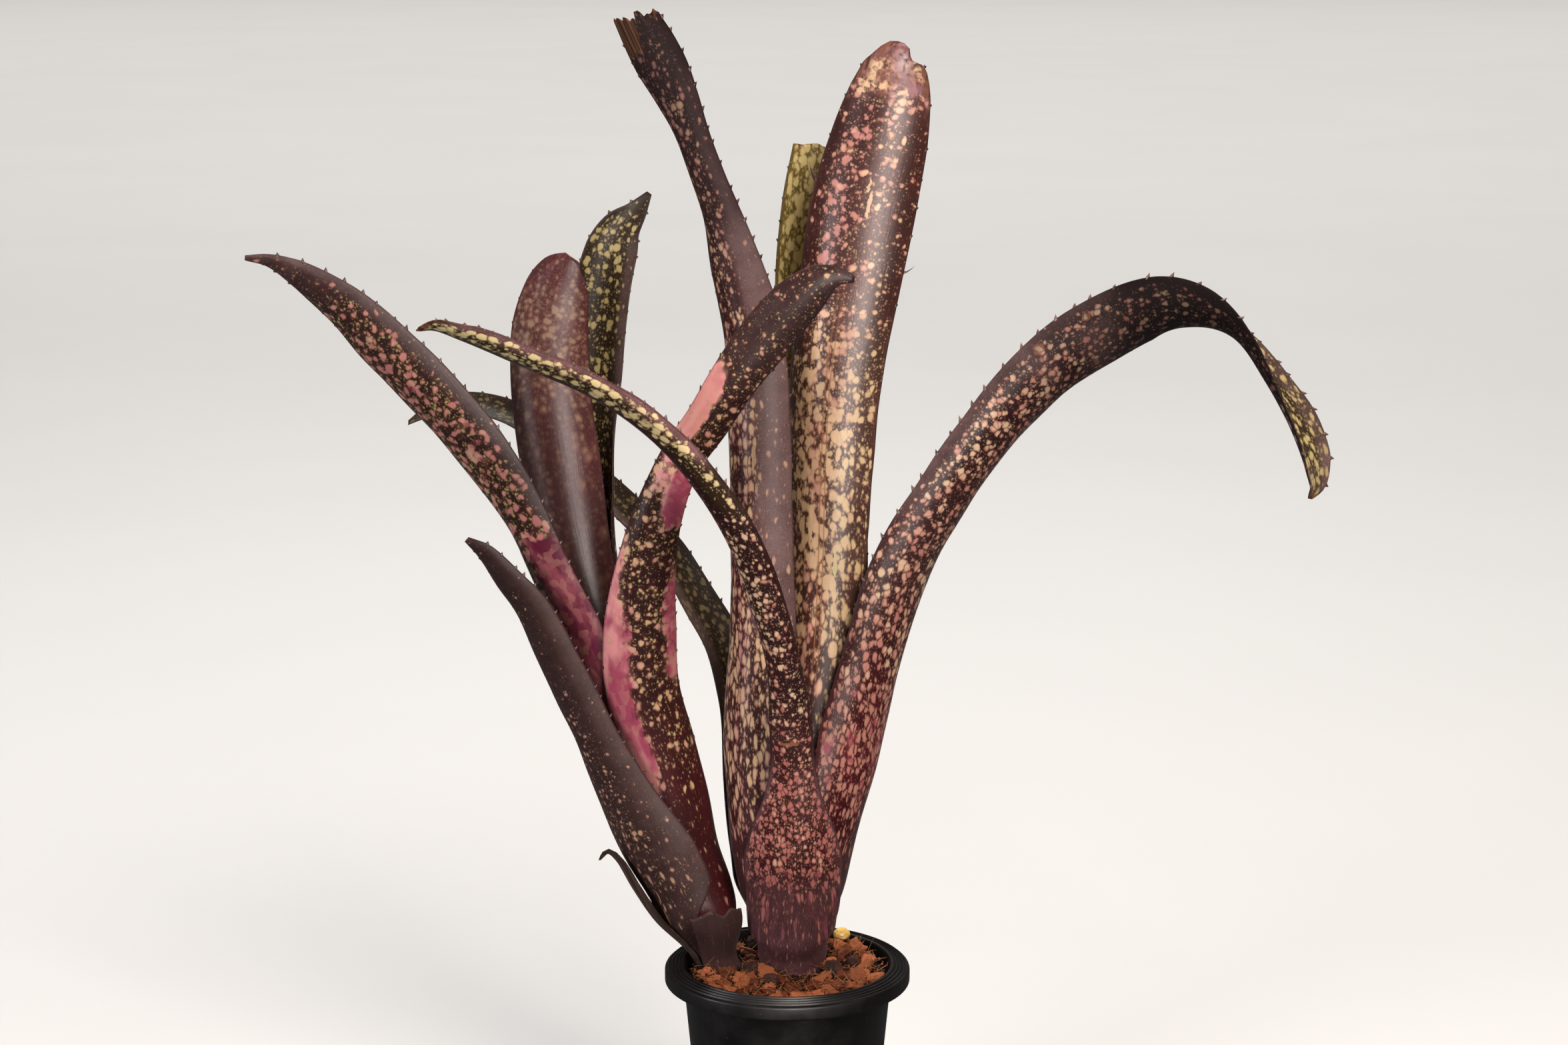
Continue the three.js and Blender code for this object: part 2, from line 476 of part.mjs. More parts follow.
function leafGeometry(shoot, leaf) {
  const stations = leafStations(shoot, leaf);
  const sections = leafSections(stations);
  const points = [];
  const faces = [];
  const addPoint = (point) => points.push(point.x, point.y, point.z) / 3 - 1;
  const pointAt = (index) => new THREE.Vector3(...points.slice(3 * index, 3 * index + 3));
  const addFace = (a, b, c, flip) => faces.push(...(flip ? [a, c, b] : [a, b, c]));
  const skinRows = (sign) => sections.map((section) => {
    const row = [];
    for (let i = 0; i <= columns; i++) {
      const place = (2 * i) / columns - 1;
      const thickness = midThickness + (marginThickness - midThickness) * place * place;
      row.push(addPoint(sectionPoint(section, place, (sign * thickness) / 2)));
    }
    return row;
  });
  const outer = skinRows(1);
  const inner = skinRows(-1);
  const between = (a, b, share) => addPoint(pointAt(a).lerp(pointAt(b), share));
  const firstSpined = stations.length - leaf.blade.length + leaf.spinesFrom - 1;
  const lastSpined = stations.length - 3;
  const margin = (j, sideSign) => {
    const edge = sideSign > 0 ? columns : 0;
    const next = edge - sideSign;
    const flip = sideSign < 0;
    const outerLine = [outer[j][edge]];
    const innerLine = [inner[j][edge]];
    const spined = sections[j].span >= firstSpined && sections[j].span <= lastSpined;
    if (spined) {
      const length = pointAt(outer[j][edge]).distanceTo(pointAt(outer[j + 1][edge]));
      const half = Math.min(0.3, spineBase / (2 * length));
      for (const share of [0.5 - half, 0.5 + half]) {
        outerLine.push(between(outer[j][edge], outer[j + 1][edge], share));
        innerLine.push(between(inner[j][edge], inner[j + 1][edge], share));
      }
    }
    outerLine.push(outer[j + 1][edge]);
    innerLine.push(inner[j + 1][edge]);
    const outerFan = [...outerLine, outer[j + 1][next]];
    const innerFan = [...innerLine, inner[j + 1][next]];
    for (let k = 0; k < outerFan.length - 1; k++) {
      addFace(outer[j][next], outerFan[k], outerFan[k + 1], flip);
      addFace(inner[j][next], innerFan[k], innerFan[k + 1], !flip);
    }
    for (let k = 0; k < outerLine.length - 1; k++) {
      const ring = [outerLine[k], innerLine[k], innerLine[k + 1], outerLine[k + 1]];
      if (spined && k === 1) {
        const tip = ring.reduce((sum, index) => sum.add(pointAt(index)), new THREE.Vector3()).divideScalar(4);
        tip.addScaledVector(marginDirection(sections[j], sideSign), spineLength);
        tip.addScaledVector(sections[j].along, spineLean);
        const apex = addPoint(tip);
        ring.forEach((index, corner) => addFace(index, ring[(corner + 1) % 4], apex, flip));
      } else {
        addFace(ring[0], ring[1], ring[2], flip);
        addFace(ring[0], ring[2], ring[3], flip);
      }
    }
  };
  for (let j = 0; j < sections.length - 1; j++) {
    for (let i = 1; i < columns - 1; i++) {
      addFace(outer[j][i], outer[j][i + 1], outer[j + 1][i + 1]);
      addFace(outer[j][i], outer[j + 1][i + 1], outer[j + 1][i]);
      addFace(inner[j][i], inner[j + 1][i + 1], inner[j][i + 1]);
      addFace(inner[j][i], inner[j + 1][i], inner[j + 1][i + 1]);
    }
    margin(j, 1);
    margin(j, -1);
  }
  const end = sections.length - 1;
  for (let i = 0; i < columns; i++) {
    addFace(outer[0][i], inner[0][i], inner[0][i + 1]);
    addFace(outer[0][i], inner[0][i + 1], outer[0][i + 1]);
    addFace(inner[end][i], outer[end][i], outer[end][i + 1]);
    addFace(inner[end][i], outer[end][i + 1], inner[end][i + 1]);
  }
  return closedGeometry(points, faces);
}

// Assembly

const group = new THREE.Group();

function addPiece(name, geometry, color, roughness) {
  const mesh = new THREE.Mesh(geometry, new THREE.MeshStandardMaterial({ color, roughness, metalness: 0 }));
  mesh.name = name;
  group.add(mesh);
}

addPiece('pot', potGeometry(), 0x2c2f31, 0.55);
addPiece('potting_mix', mixGeometry(), 0x35251b, 0.95);
addPiece('husk_chips', mulchGeometry(), 0xa66f45, 0.95);
addPiece('crown_and_rhizome', geometryOf(crownSolid(0)), 0x8a7a5c, 0.8);
for (const lump of nuggets) {
  addPiece(lump.name, nuggetGeometry(lump, 0), 0x3b2c28, 0.9);
}
addPiece(pellet.name, nuggetGeometry(pellet, 0), 0xd8b45a, 0.5);
for (const leaf of mainLeaves) {
  addPiece(leaf.name, leafGeometry(mainShoot, leaf), leaf.colour, 0.45);
}
for (const leaf of offsetLeaves) {
  addPiece(leaf.name, leafGeometry(offsetShoot, leaf), leaf.colour, 0.45);
}

export default group;
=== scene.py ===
import math
import random
import bmesh
import bpy
import numpy as np
from mathutils import Matrix, Vector, noise


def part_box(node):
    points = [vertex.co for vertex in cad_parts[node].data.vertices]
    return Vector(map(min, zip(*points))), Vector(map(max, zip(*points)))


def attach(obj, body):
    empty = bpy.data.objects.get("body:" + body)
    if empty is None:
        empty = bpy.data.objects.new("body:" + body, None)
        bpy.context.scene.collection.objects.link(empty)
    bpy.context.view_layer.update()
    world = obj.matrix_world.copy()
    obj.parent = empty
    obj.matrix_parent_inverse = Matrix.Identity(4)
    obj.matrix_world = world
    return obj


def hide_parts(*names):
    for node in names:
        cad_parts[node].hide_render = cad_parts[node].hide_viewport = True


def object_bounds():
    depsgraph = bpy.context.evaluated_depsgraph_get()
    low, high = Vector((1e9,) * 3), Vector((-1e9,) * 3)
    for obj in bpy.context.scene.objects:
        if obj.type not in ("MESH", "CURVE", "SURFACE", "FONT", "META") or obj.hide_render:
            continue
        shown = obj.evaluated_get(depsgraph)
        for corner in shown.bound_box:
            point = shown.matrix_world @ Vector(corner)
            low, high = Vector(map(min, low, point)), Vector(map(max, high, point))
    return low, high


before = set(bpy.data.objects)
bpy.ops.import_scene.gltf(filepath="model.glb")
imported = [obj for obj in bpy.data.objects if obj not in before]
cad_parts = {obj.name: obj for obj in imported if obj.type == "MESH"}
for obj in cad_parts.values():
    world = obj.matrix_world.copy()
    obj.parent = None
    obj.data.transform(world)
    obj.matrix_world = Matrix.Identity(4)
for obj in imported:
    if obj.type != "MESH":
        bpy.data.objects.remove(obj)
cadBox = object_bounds()
mm = 0.001
print("frame loaded:", len(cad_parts), "nodes")


# Small helpers for numbers, colours, nodes and meshes

def tint(code):
    # a hex colour as the linear values that shaders take
    parts = [int(code[i:i + 2], 16) / 255 for i in (0, 2, 4)]
    return tuple(p / 12.92 if p <= 0.04045 else ((p + 0.055) / 1.055) ** 2.4 for p in parts) + (1.0,)


def smoothStep(value, low, high):
    share = np.clip((value - low) / (high - low), 0, 1)
    return share * share * (3 - 2 * share)


def window(value, low, high, soft):
    # 1 between low and high, with soft ends
    return smoothStep(value, low - soft, low + soft) * (1 - smoothStep(value, high - soft, high + soft))


def follow(runs, rows):
    # the value at each distance, from rows of distance: value
    return np.interp(runs, list(rows), list(rows.values()))


def feed(tree, socket, value):
    if isinstance(value, bpy.types.NodeSocket):
        tree.links.new(value, socket)
    else:
        socket.default_value = value


def put(tree, kind, inputs=None, **settings):
    made = tree.nodes.new("ShaderNode" + kind)
    for key, value in settings.items():
        setattr(made, key, value)
    for key, value in (inputs or {}).items():
        feed(tree, made.inputs[key], value)
    return made


def calc(tree, operation, *values):
    return put(tree, "Math", dict(enumerate(values)), operation=operation).outputs[0]


def times(tree, first, second):
    return calc(tree, "MULTIPLY", first, second)


def plus(tree, first, second):
    return calc(tree, "ADD", first, second)


def minus(tree, first, second):
    return calc(tree, "SUBTRACT", first, second)


def larger(tree, first, second):
    return calc(tree, "MAXIMUM", first, second)


def scaleAdd(tree, value, factor, added):
    return calc(tree, "MULTIPLY_ADD", value, factor, added)


def vector(tree, operation, first, second):
    key = "Scale" if operation == "SCALE" else 1
    return put(tree, "VectorMath", {0: first, key: second}, operation=operation).outputs[0]


def blendColour(tree, share, first, second, mode="MIX"):
    return put(tree, "Mix", {0: share, 6: first, 7: second}, data_type="RGBA", blend_type=mode).outputs[2]


def blendValue(tree, share, first, second):
    return put(tree, "Mix", {0: share, 2: first, 3: second}, data_type="FLOAT").outputs[0]


def remap(tree, value, low, high, toLow=0.0, toHigh=1.0):
    sockets = {"Value": value, "From Min": low, "From Max": high, "To Min": toLow, "To Max": toHigh}
    return put(tree, "MapRange", sockets, interpolation_type="SMOOTHSTEP").outputs[0]


def stretch(tree, place, scale):
    return put(tree, "Mapping", {"Vector": place, "Scale": scale}).outputs[0]


def cloud(tree, place, scale, detail, roughness=0.5, flat=True, output="Fac"):
    inputs = {"Vector": place, "Scale": scale, "Detail": detail, "Roughness": roughness}
    return put(tree, "TexNoise", inputs, noise_dimensions="2D" if flat else "3D").outputs[output]


def wobbled(tree, place, scale, reach):
    # the place pushed about a little, and the noise that does it
    sway = cloud(tree, place, scale, 2.0, output="Color")
    off = vector(tree, "SCALE", vector(tree, "SUBTRACT", sway, (0.5, 0.5, 0.5)), reach)
    return vector(tree, "ADD", place, off), sway


def splitColour(tree, colour):
    return put(tree, "SeparateColor", {0: colour}).outputs


def attribute(tree, name):
    return put(tree, "Attribute", attribute_name=name).outputs


def addRelief(tree, shader, strength, reach, height):
    # reach is in millimetres
    relief = put(tree, "Bump", {"Strength": strength, "Distance": reach * mm, "Height": height})
    feed(tree, shader["Normal"], relief.outputs[0])


def newGroup(name, inputs, outputs):
    tree = bpy.data.node_groups.new(name, "ShaderNodeTree")
    for label, kind, value in inputs:
        socket = tree.interface.new_socket(label, in_out="INPUT", socket_type="NodeSocket" + kind)
        if value is not None:
            socket.default_value = value
    for label, kind in outputs:
        tree.interface.new_socket(label, in_out="OUTPUT", socket_type="NodeSocket" + kind)
    return tree, tree.nodes.new("NodeGroupInput").outputs, tree.nodes.new("NodeGroupOutput").inputs


def useGroup(tree, group, inputs):
    made = tree.nodes.new("ShaderNodeGroup")
    made.node_tree = group
    for key, value in inputs.items():
        feed(tree, made.inputs[key], value)
    return made.outputs


def newMaterial(name):
    material = bpy.data.materials.new(name)
    material.use_nodes = True
    tree = material.node_tree
    return material, tree, tree.nodes["Principled BSDF"].inputs


def addObject(name, points, faces, materials):
    mesh = bpy.data.meshes.new(name)
    mesh.from_pydata([tuple(p) for p in points], [], [tuple(f) for f in faces])
    mesh.polygons.foreach_set("use_smooth", [True] * len(mesh.polygons))
    for material in materials:
        mesh.materials.append(material)
    made = bpy.data.objects.new(name, mesh)
    bpy.context.scene.collection.objects.link(made)
    return made


def circle(radius, sides, x=0, y=0):
    angles = [2 * math.pi * k / sides for k in range(sides)]
    return [(x + radius * math.cos(angle), y + radius * math.sin(angle)) for angle in angles]


def band(base, count):
    # the quads between a ring of points and the next one
    ends = [(base + k, base + (k + 1) % count) for k in range(count)]
    return [(a, b, b + count, a + count) for a, b in ends]


def cornerValues(mesh, values):
    # a value for each corner of a face, from the values of the points
    corners = np.zeros(len(mesh.loops), int)
    mesh.loops.foreach_get("vertex_index", corners)
    return values[corners]


def settle(piece, slot, *nodes):
    # a finished piece rides on the root body and stands for its nodes
    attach(piece, "root")
    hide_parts(*nodes)


# Camera, lights and floor

stage = {
    "cameraAt": (-1.2, -1142.7, 485.2),  # millimetres
    "cameraPitch": 11.8,
    "lens": 75,
    "floorSize": 60,
    "floorColour": "cfccc8",
    "floorMottle": 0.94,
    "worldColour": "eceaea",
    "worldStrength": 0.12,
}
lamps = [
    # name, place in metres, aimed at, width, height, watts, colour, lights matt surfaces, shines in others
    ("keyRight", (0.63, -1.01, 1.32), (0.0, 0.0, 0.2), 0.7, 0.7, 28, "fff8f2", True, False),
    ("keyLeft", (-0.98, -0.88, 0.66), (0.0, 0.0, 0.22), 0.5, 0.7, 10.5, "fbf8ff", True, False),
    ("sheenFront", (0.14, -1.24, 0.36), (0.0, 0.0, 0.28), 0.62, 0.6, 30, "fff8f2", False, True),
    ("sheenLeft", (-1.16, -0.46, 0.3), (0.0, 0.0, 0.26), 0.22, 0.5, 7, "fbf8ff", False, True),
    ("backHigh", (-0.2, 0.9, 1.5), (0.0, 0.0, 0.2), 1.2, 0.8, 13, "ffffff", True, True),
    ("floorGlow", (0.0, 0.0, 0.004), (0.0, 0.0, 1.0), 3.0, 3.0, 3.4, "ffffff", True, False),
    ("nearWash", (0.0, 2.6, 2.6), (0.0, 2.6, 0.0), 4.0, 3.0, 45, "ffffff", True, False),
    ("farWash", (0.0, 7.5, 5.0), (0.0, 7.5, 0.0), 14.0, 9.0, 760, "ffffff", True, False),
]


def buildStage():
    data = bpy.data.cameras.new("camera")
    data.lens = stage["lens"]
    data.sensor_width = 36
    data.clip_end = 200
    camera = bpy.data.objects.new("camera", data)
    camera.location = Vector(stage["cameraAt"]) * mm
    camera.rotation_euler = (math.radians(90 - stage["cameraPitch"]), 0, 0)
    bpy.context.scene.collection.objects.link(camera)
    bpy.context.scene.camera = camera
    for name, place, aim, width, height, watts, colour, matt, glossy in lamps:
        lamp = bpy.data.lights.new(name, "AREA")
        lamp.shape = "RECTANGLE"
        lamp.size = width
        lamp.size_y = height
        lamp.energy = watts
        lamp.color = tint(colour)[:3]
        made = bpy.data.objects.new(name, lamp)
        made.location = place
        made.rotation_euler = (Vector(aim) - Vector(place)).to_track_quat("-Z", "Y").to_euler()
        made.visible_camera = False
        made.visible_diffuse = matt
        made.visible_glossy = glossy
        bpy.context.scene.collection.objects.link(made)
    world = bpy.data.worlds.new("studio")
    world.use_nodes = True
    sky = world.node_tree.nodes["Background"].inputs
    sky["Color"].default_value = tint(stage["worldColour"])
    sky["Strength"].default_value = stage["worldStrength"]
    bpy.context.scene.world = world
    bpy.context.scene.view_settings.view_transform = "Standard"
    half = stage["floorSize"] / 2
    corners = [(-half, -half, 0), (half, -half, 0), (half, half, 0), (-half, half, 0)]
    material, tree, shader = newMaterial("paleFloor")
    place = put(tree, "TexCoord").outputs["Object"]
    mottle = cloud(tree, place, 3.0, 3.0, flat=False)
    colour = tint(stage["floorColour"])
    shade = tuple(c * stage["floorMottle"] for c in colour[:3]) + (1,)
    feed(tree, shader["Base Color"], blendColour(tree, mottle, colour, shade))
    shader["Roughness"].default_value = 0.7
    floor = addObject("floor", corners, [(0, 1, 2, 3)], [material])
    floor.visible_diffuse = False  # the glow above stands for its light, softer than a white floor's
    floor.visible_glossy = False


buildStage()
print("stage built")



# Shared shader effects

def makeSpotGroup():
    # soft round blobs that swell and run together as Cover rises; Place is in millimetres on the skin
    tree, given, out = newGroup(
        "skinSpots",
        [("Place", "Vector", None), ("Cell", "Float", 3.0), ("Cover", "Float", 0.5), ("Merge", "Float", 0.5),
         ("Seed", "Float", 0.0)],
        [("Depth", "Float"), ("Tone", "Float"), ("Seeded", "Vector")])
    scaled = vector(tree, "SCALE", given["Place"], calc(tree, "DIVIDE", 1.0, given["Cell"]))
    shift = put(tree, "CombineXYZ", {0: given["Seed"], 1: given["Seed"]}).outputs[0]
    seeded, sway = wobbled(tree, vector(tree, "ADD", scaled, shift), 1.1, 0.5)
    near = put(tree, "TexVoronoi", {"Vector": seeded, "Scale": 1.0, "Randomness": 0.9, "Smoothness": 0.2},
               voronoi_dimensions="2D", feature="SMOOTH_F1").outputs
    swell = cloud(tree, seeded, 0.6, 1.0)
    chance = splitColour(tree, near["Color"])
    uneven = larger(tree, scaleAdd(tree, given["Cover"], -0.6, 0.54), 0.0)  # alike when crowded
    ragged = minus(tree, splitColour(tree, sway)[2], 0.5)
    ragged = times(tree, ragged, scaleAdd(tree, given["Cover"], 1.0, 0.1))
    vary = plus(tree, times(tree, minus(tree, swell, 0.5), given["Merge"]),
                scaleAdd(tree, minus(tree, chance[0], 0.5), uneven, ragged))
    reach = plus(tree, scaleAdd(tree, given["Cover"], 0.66, -0.08), vary)
    feed(tree, out["Depth"], minus(tree, reach, near["Distance"]))
    feed(tree, out["Tone"], chance[1])
    feed(tree, out["Seeded"], seeded)
    return tree


def makeVeinGroup():
    # fine lines that run along the leaf, for colour and relief
    tree, given, out = newGroup("skinVeins", [("Place", "Vector", None), ("Seed", "Float", 0.0)],
                                [("Lines", "Float"), ("Height", "Float")])
    shift = put(tree, "CombineXYZ", {0: given["Seed"]}).outputs[0]
    shifted = vector(tree, "ADD", given["Place"], shift)
    wide = cloud(tree, stretch(tree, shifted, (0.9, 0.03, 1)), 1.0, 3.0)
    fine = cloud(tree, stretch(tree, shifted, (3.4, 0.11, 1)), 1.0, 2.0)
    feed(tree, out["Lines"], remap(tree, wide, 0.35, 0.65))
    feed(tree, out["Height"], plus(tree, times(tree, wide, 0.6), times(tree, fine, 0.4)))
    return tree


def makeScurfGroup():
    # the pale powder of scales on the skin: grains, in bands across the leaf
    tree, given, out = newGroup(
        "skinScurf", [("Place", "Vector", None), ("Amount", "Float", 0.3), ("Seed", "Float", 0.0)],
        [("Mask", "Float"), ("Grain", "Float")])
    shift = put(tree, "CombineXYZ", {1: given["Seed"]}).outputs[0]
    shifted = vector(tree, "ADD", given["Place"], shift)
    grain = cloud(tree, shifted, 3.2, 3.0, 0.7)
    bands = cloud(tree, stretch(tree, shifted, (0.03, 0.16, 1)), 1.0, 3.0)
    mottle = cloud(tree, shifted, 0.35, 4.0)
    soft = times(tree, remap(tree, bands, 0.3, 0.7, 0.75, 1.15), remap(tree, mottle, 0.3, 0.7, 0.85, 1.1))
    grainy = remap(tree, grain, 0.32, 0.68, 0.6, 1.35)
    amount = times(tree, times(tree, given["Amount"], soft), grainy)
    feed(tree, out["Mask"], calc(tree, "MINIMUM", amount, 0.92))
    feed(tree, out["Grain"], grain)
    return tree


def makeGrainGroup():
    # uneven tone and small relief for teeth, plastic, bark and soil; Size is in millimetres
    tree, given, out = newGroup(
        "unevenGrain", [("Place", "Vector", None), ("Size", "Float", 1.0), ("Sharp", "Float", 0.5)],
        [("Tone", "Float"), ("Height", "Float"), ("Pits", "Float")])
    scaled = vector(tree, "SCALE", given["Place"], calc(tree, "DIVIDE", 1000.0, given["Size"]))
    broad = cloud(tree, scaled, 0.35, 4.0, given["Sharp"], flat=False)
    fine = cloud(tree, scaled, 2.2, 5.0, given["Sharp"], flat=False)
    pits = put(tree, "TexVoronoi", {"Vector": scaled, "Scale": 1.4}, feature="F1").outputs["Distance"]
    feed(tree, out["Tone"], remap(tree, broad, 0.3, 0.7))
    feed(tree, out["Height"], fine)
    feed(tree, out["Pits"], remap(tree, pits, 0.0, 0.55))
    return tree


spotGroup = makeSpotGroup()
veinGroup = makeVeinGroup()
scurfGroup = makeScurfGroup()
grainGroup = makeGrainGroup()
print("shader groups built")


def grainyMaterial(name, size, sharp):
    # the start of every material that isn't leaf skin
    material, tree, shader = newMaterial(name)
    place = put(tree, "TexCoord").outputs["Object"]
    grain = useGroup(tree, grainGroup, {"Place": place, "Size": size, "Sharp": sharp})
    return material, tree, shader, place, grain


# Leaf skin

skin = {
    "dark": "261311", "olive": "30250c", "crimson": "50161c", "redRing": "54241f", "cream": "d8b592",
    "pink": "c78a80", "yellow": "c9b478", "flush": "bb6d70", "magenta": "913850", "scurf": "7c605d",
    "dry": "a5683e", "dryDark": "4a2c1e", "edge": "281413", "rib": "a8693f", "scar": "9c5a38",
    "streak": "84404a",
}


def ovalDistance(tree, place, at, half):
    # 1 on the outline of an oval mark, less inside it
    away = vector(tree, "SUBTRACT", wobbled(tree, place, 0.6, 1.6)[0], (at[0], at[1], 0))
    scaled = vector(tree, "MULTIPLY", away, (1 / half[0], 1 / half[1], 0))
    return put(tree, "VectorMath", {0: scaled}, operation="LENGTH").outputs["Value"]


def leafMaterial(name, look, marks):
    colours = {key: tint(code) for key, code in {**skin, **look.get("skin", {})}.items()}
    seed = look["seed"]
    soft = look.get("soft", 0.11)
    material, tree, shader = newMaterial(name)
    place = put(tree, "UVMap", uv_map="skin").outputs[0]
    first = attribute(tree, "skinFirst")
    second = attribute(tree, "skinSecond")
    cover, pink, flush = splitColour(tree, first["Color"])
    crimson = first["Alpha"]
    frost, green, dry = splitColour(tree, second["Color"])
    rib = second["Alpha"]
    # shade is painted shade below 1 and painted light above 1, multiplying the skin's colour
    shade = attribute(tree, "paintedShadeAndLight")["Fac"]
    edge = attribute(tree, "marginDistance")["Fac"]

    # blobs of three sizes, in loose clusters; a flushed patch is where they all run together
    lobes = cloud(tree, place, 0.2, 3.0)
    flush = remap(tree, plus(tree, flush, scaleAdd(tree, lobes, 0.9, -0.45)), 0.22, 0.85)
    spread = scaleAdd(tree, cloud(tree, place, 0.13, 2.0), 0.5, -0.25)
    wanted = plus(tree, scaleAdd(tree, flush, 0.85, spread), cover)
    less = 0.45 * (1 - look.get("fine", 0.6))

    def spots(size, wantedHere, shift):
        return useGroup(tree, spotGroup, {"Place": place, "Cell": look["cell"] * size, "Cover": wantedHere,
                                          "Merge": look.get("merge", 0.5), "Seed": seed + shift})

    large = spots(1, wanted, 0)
    middle = spots(0.55, scaleAdd(tree, wanted, 0.8, -0.04 - less), 31)
    small = spots(0.3, scaleAdd(tree, wanted, 0.7, -0.06 - less), 57)
    depth = large["Depth"]
    if look.get("gap"):  # thin dark lines stay between crowded spots where the leaf is crimson
        border = put(tree, "TexVoronoi", {"Vector": large["Seeded"], "Scale": 1.0, "Randomness": 0.9},
                     voronoi_dimensions="2D", feature="DISTANCE_TO_EDGE").outputs["Distance"]
        width = times(tree, times(tree, crimson, lobes), 2.4 * look["gap"])
        inset = minus(tree, border, scaleAdd(tree, flush, -0.3, width))
        depth = calc(tree, "SMOOTH_MIN", depth, inset, 0.12)
    largeMask = remap(tree, depth, -soft, soft)
    middleMask = remap(tree, middle["Depth"], -1.6 * soft, 1.6 * soft, 0.0, 0.92)
    smallMask = remap(tree, small["Depth"], -2.6 * soft, 2.6 * soft, 0.0, 0.7)
    mask = larger(tree, larger(tree, largeMask, middleMask), smallMask)
    heart = remap(tree, larger(tree, large["Depth"], times(tree, middle["Depth"], 0.7)), 0.0, 0.3)
    veins = useGroup(tree, veinGroup, {"Place": place, "Seed": seed * 7.0})
    scurf = useGroup(tree, scurfGroup, {"Place": place, "Amount": frost, "Seed": seed * 5.0})
    drift = remap(tree, cloud(tree, stretch(tree, place, (0.11, 0.06, 1)), 1.0, 3.0), 0.3, 0.7)

    # the ground colour, redder close to the spots
    ground = blendColour(tree, green, colours["dark"], colours["olive"])
    halo = remap(tree, large["Depth"], -0.45, 0.0, 0.0, 0.6)
    halo = times(tree, halo, minus(tree, 1.0, green))
    ground = blendColour(tree, halo, ground, colours["redRing"])
    redness = times(tree, crimson, scaleAdd(tree, drift, 0.5, 0.6))
    ground = blendColour(tree, redness, ground, colours["crimson"])
    ground = blendColour(tree, times(tree, veins["Lines"], 0.3), ground, (0.5, 0.45, 0.45, 1), "MULTIPLY")

    # the spots: cream hearts, pinker rims, yellower where the leaf is green
    warm = plus(tree, pink, scaleAdd(tree, drift, 0.6, -0.3))
    warm = plus(tree, warm, scaleAdd(tree, large["Tone"], 0.6, -0.3))
    warm = plus(tree, warm, scaleAdd(tree, heart, -0.45, 0.25))
    spot = blendColour(tree, remap(tree, warm, 0.0, 1.0), colours["cream"], colours["pink"])
    lone = times(tree, minus(tree, 1.0, largeMask), look.get("fleck", 0.2))
    spot = blendColour(tree, larger(tree, green, lone), spot, colours["yellow"])
    deep = remap(tree, plus(tree, pink, scaleAdd(tree, drift, 0.9, -0.3)), 0.4, 1.3)
    rosy = blendColour(tree, deep, colours["flush"], colours["magenta"])
    rosy = blendColour(tree, times(tree, remap(tree, middle["Tone"], 0.4, 0.9), 0.3), rosy, spot)
    flushed = plus(tree, flush, scaleAdd(tree, large["Tone"], 0.5, -0.25))
    spot = blendColour(tree, remap(tree, flushed, 0.15, 0.55), spot, rosy)
    ground = blendColour(tree, times(tree, flush, 0.85), ground, rosy)  # a patch has a soft border
    firm = scaleAdd(tree, times(tree, heart, small["Tone"]), 0.1, 0.92)
    firm = times(tree, firm, look.get("strength", 1.0))
    body = blendColour(tree, times(tree, mask, firm), ground, spot)

    # a fine line on each side of the midrib
    across = calc(tree, "ABSOLUTE", put(tree, "SeparateXYZ", {0: place}).outputs[0])
    ribLine = remap(tree, calc(tree, "ABSOLUTE", minus(tree, across, 0.85)), 0.1, 0.38, 0.8, 0.0)
    body = blendColour(tree, times(tree, ribLine, rib), body, colours["rib"])

    for at, half, kind in marks:
        away = ovalDistance(tree, place, at, half)
        if kind == "ring":
            body = blendColour(tree, remap(tree, away, 0.45, 0.75, 0.7, 0.0), body, colours["cream"])
            away = calc(tree, "ABSOLUTE", minus(tree, away, 0.85))
            body = blendColour(tree, remap(tree, away, 0.05, 0.3, 0.85, 0.0), body, colours["scar"])
        else:
            body = blendColour(tree, remap(tree, away, 0.75, 1.05, 0.9, 0.0), body, colours[kind])

    # scurf veils the ground more than the spots
    veil = times(tree, scurf["Mask"], scaleAdd(tree, mask, -0.5, 1.0))
    body = blendColour(tree, veil, body, colours["scurf"])

    # dry tissue in ragged patches, and the thin dark rim of the margin
    ragged = scaleAdd(tree, cloud(tree, place, 0.45, 4.0), 1.2, -0.6)
    dead = remap(tree, plus(tree, dry, ragged), 0.35, 0.65)
    dead = times(tree, dead, remap(tree, dry, 0.0, 0.15))
    dryColour = blendColour(tree, veins["Lines"], colours["dry"], colours["dryDark"])
    body = blendColour(tree, dead, body, dryColour)
    body = blendColour(tree, remap(tree, edge, 0.1, 0.6, look["rim"], 0.0), body, colours["edge"])
    # the colour scaled by the painted shade and light of each zone
    feed(tree, shader["Base Color"], vector(tree, "SCALE", body, shade))

    rough = plus(tree, scaleAdd(tree, scurf["Mask"], 0.25, look["roughness"]),
                 scaleAdd(tree, scurf["Grain"], 0.1, -0.05))
    dull = larger(tree, scaleAdd(tree, shade, -0.55, 0.55), times(tree, dead, 0.25))  # duller in painted shade and where dry
    feed(tree, shader["Roughness"], plus(tree, rough, dull))
    height = plus(tree, times(tree, veins["Height"], 0.6),
                  plus(tree, times(tree, scurf["Grain"], 0.16), times(tree, mask, 0.05)))
    addRelief(tree, shader, 0.4, 0.22, height)
    shader["Specular IOR Level"].default_value = look.get("gloss", 0.12)
    shader["Sheen Weight"].default_value = 0.04  # the scales catch light at the edges
    shader["Sheen Roughness"].default_value = 0.4
    return material


def toothMaterial(name, base, tip):
    material, tree, shader, _, grain = grainyMaterial(name, 1.2, 0.6)
    feed(tree, shader["Base Color"], blendColour(tree, grain["Tone"], tint(base), tint(tip)))
    feed(tree, shader["Roughness"], blendValue(tree, grain["Height"], 0.35, 0.6))
    return material
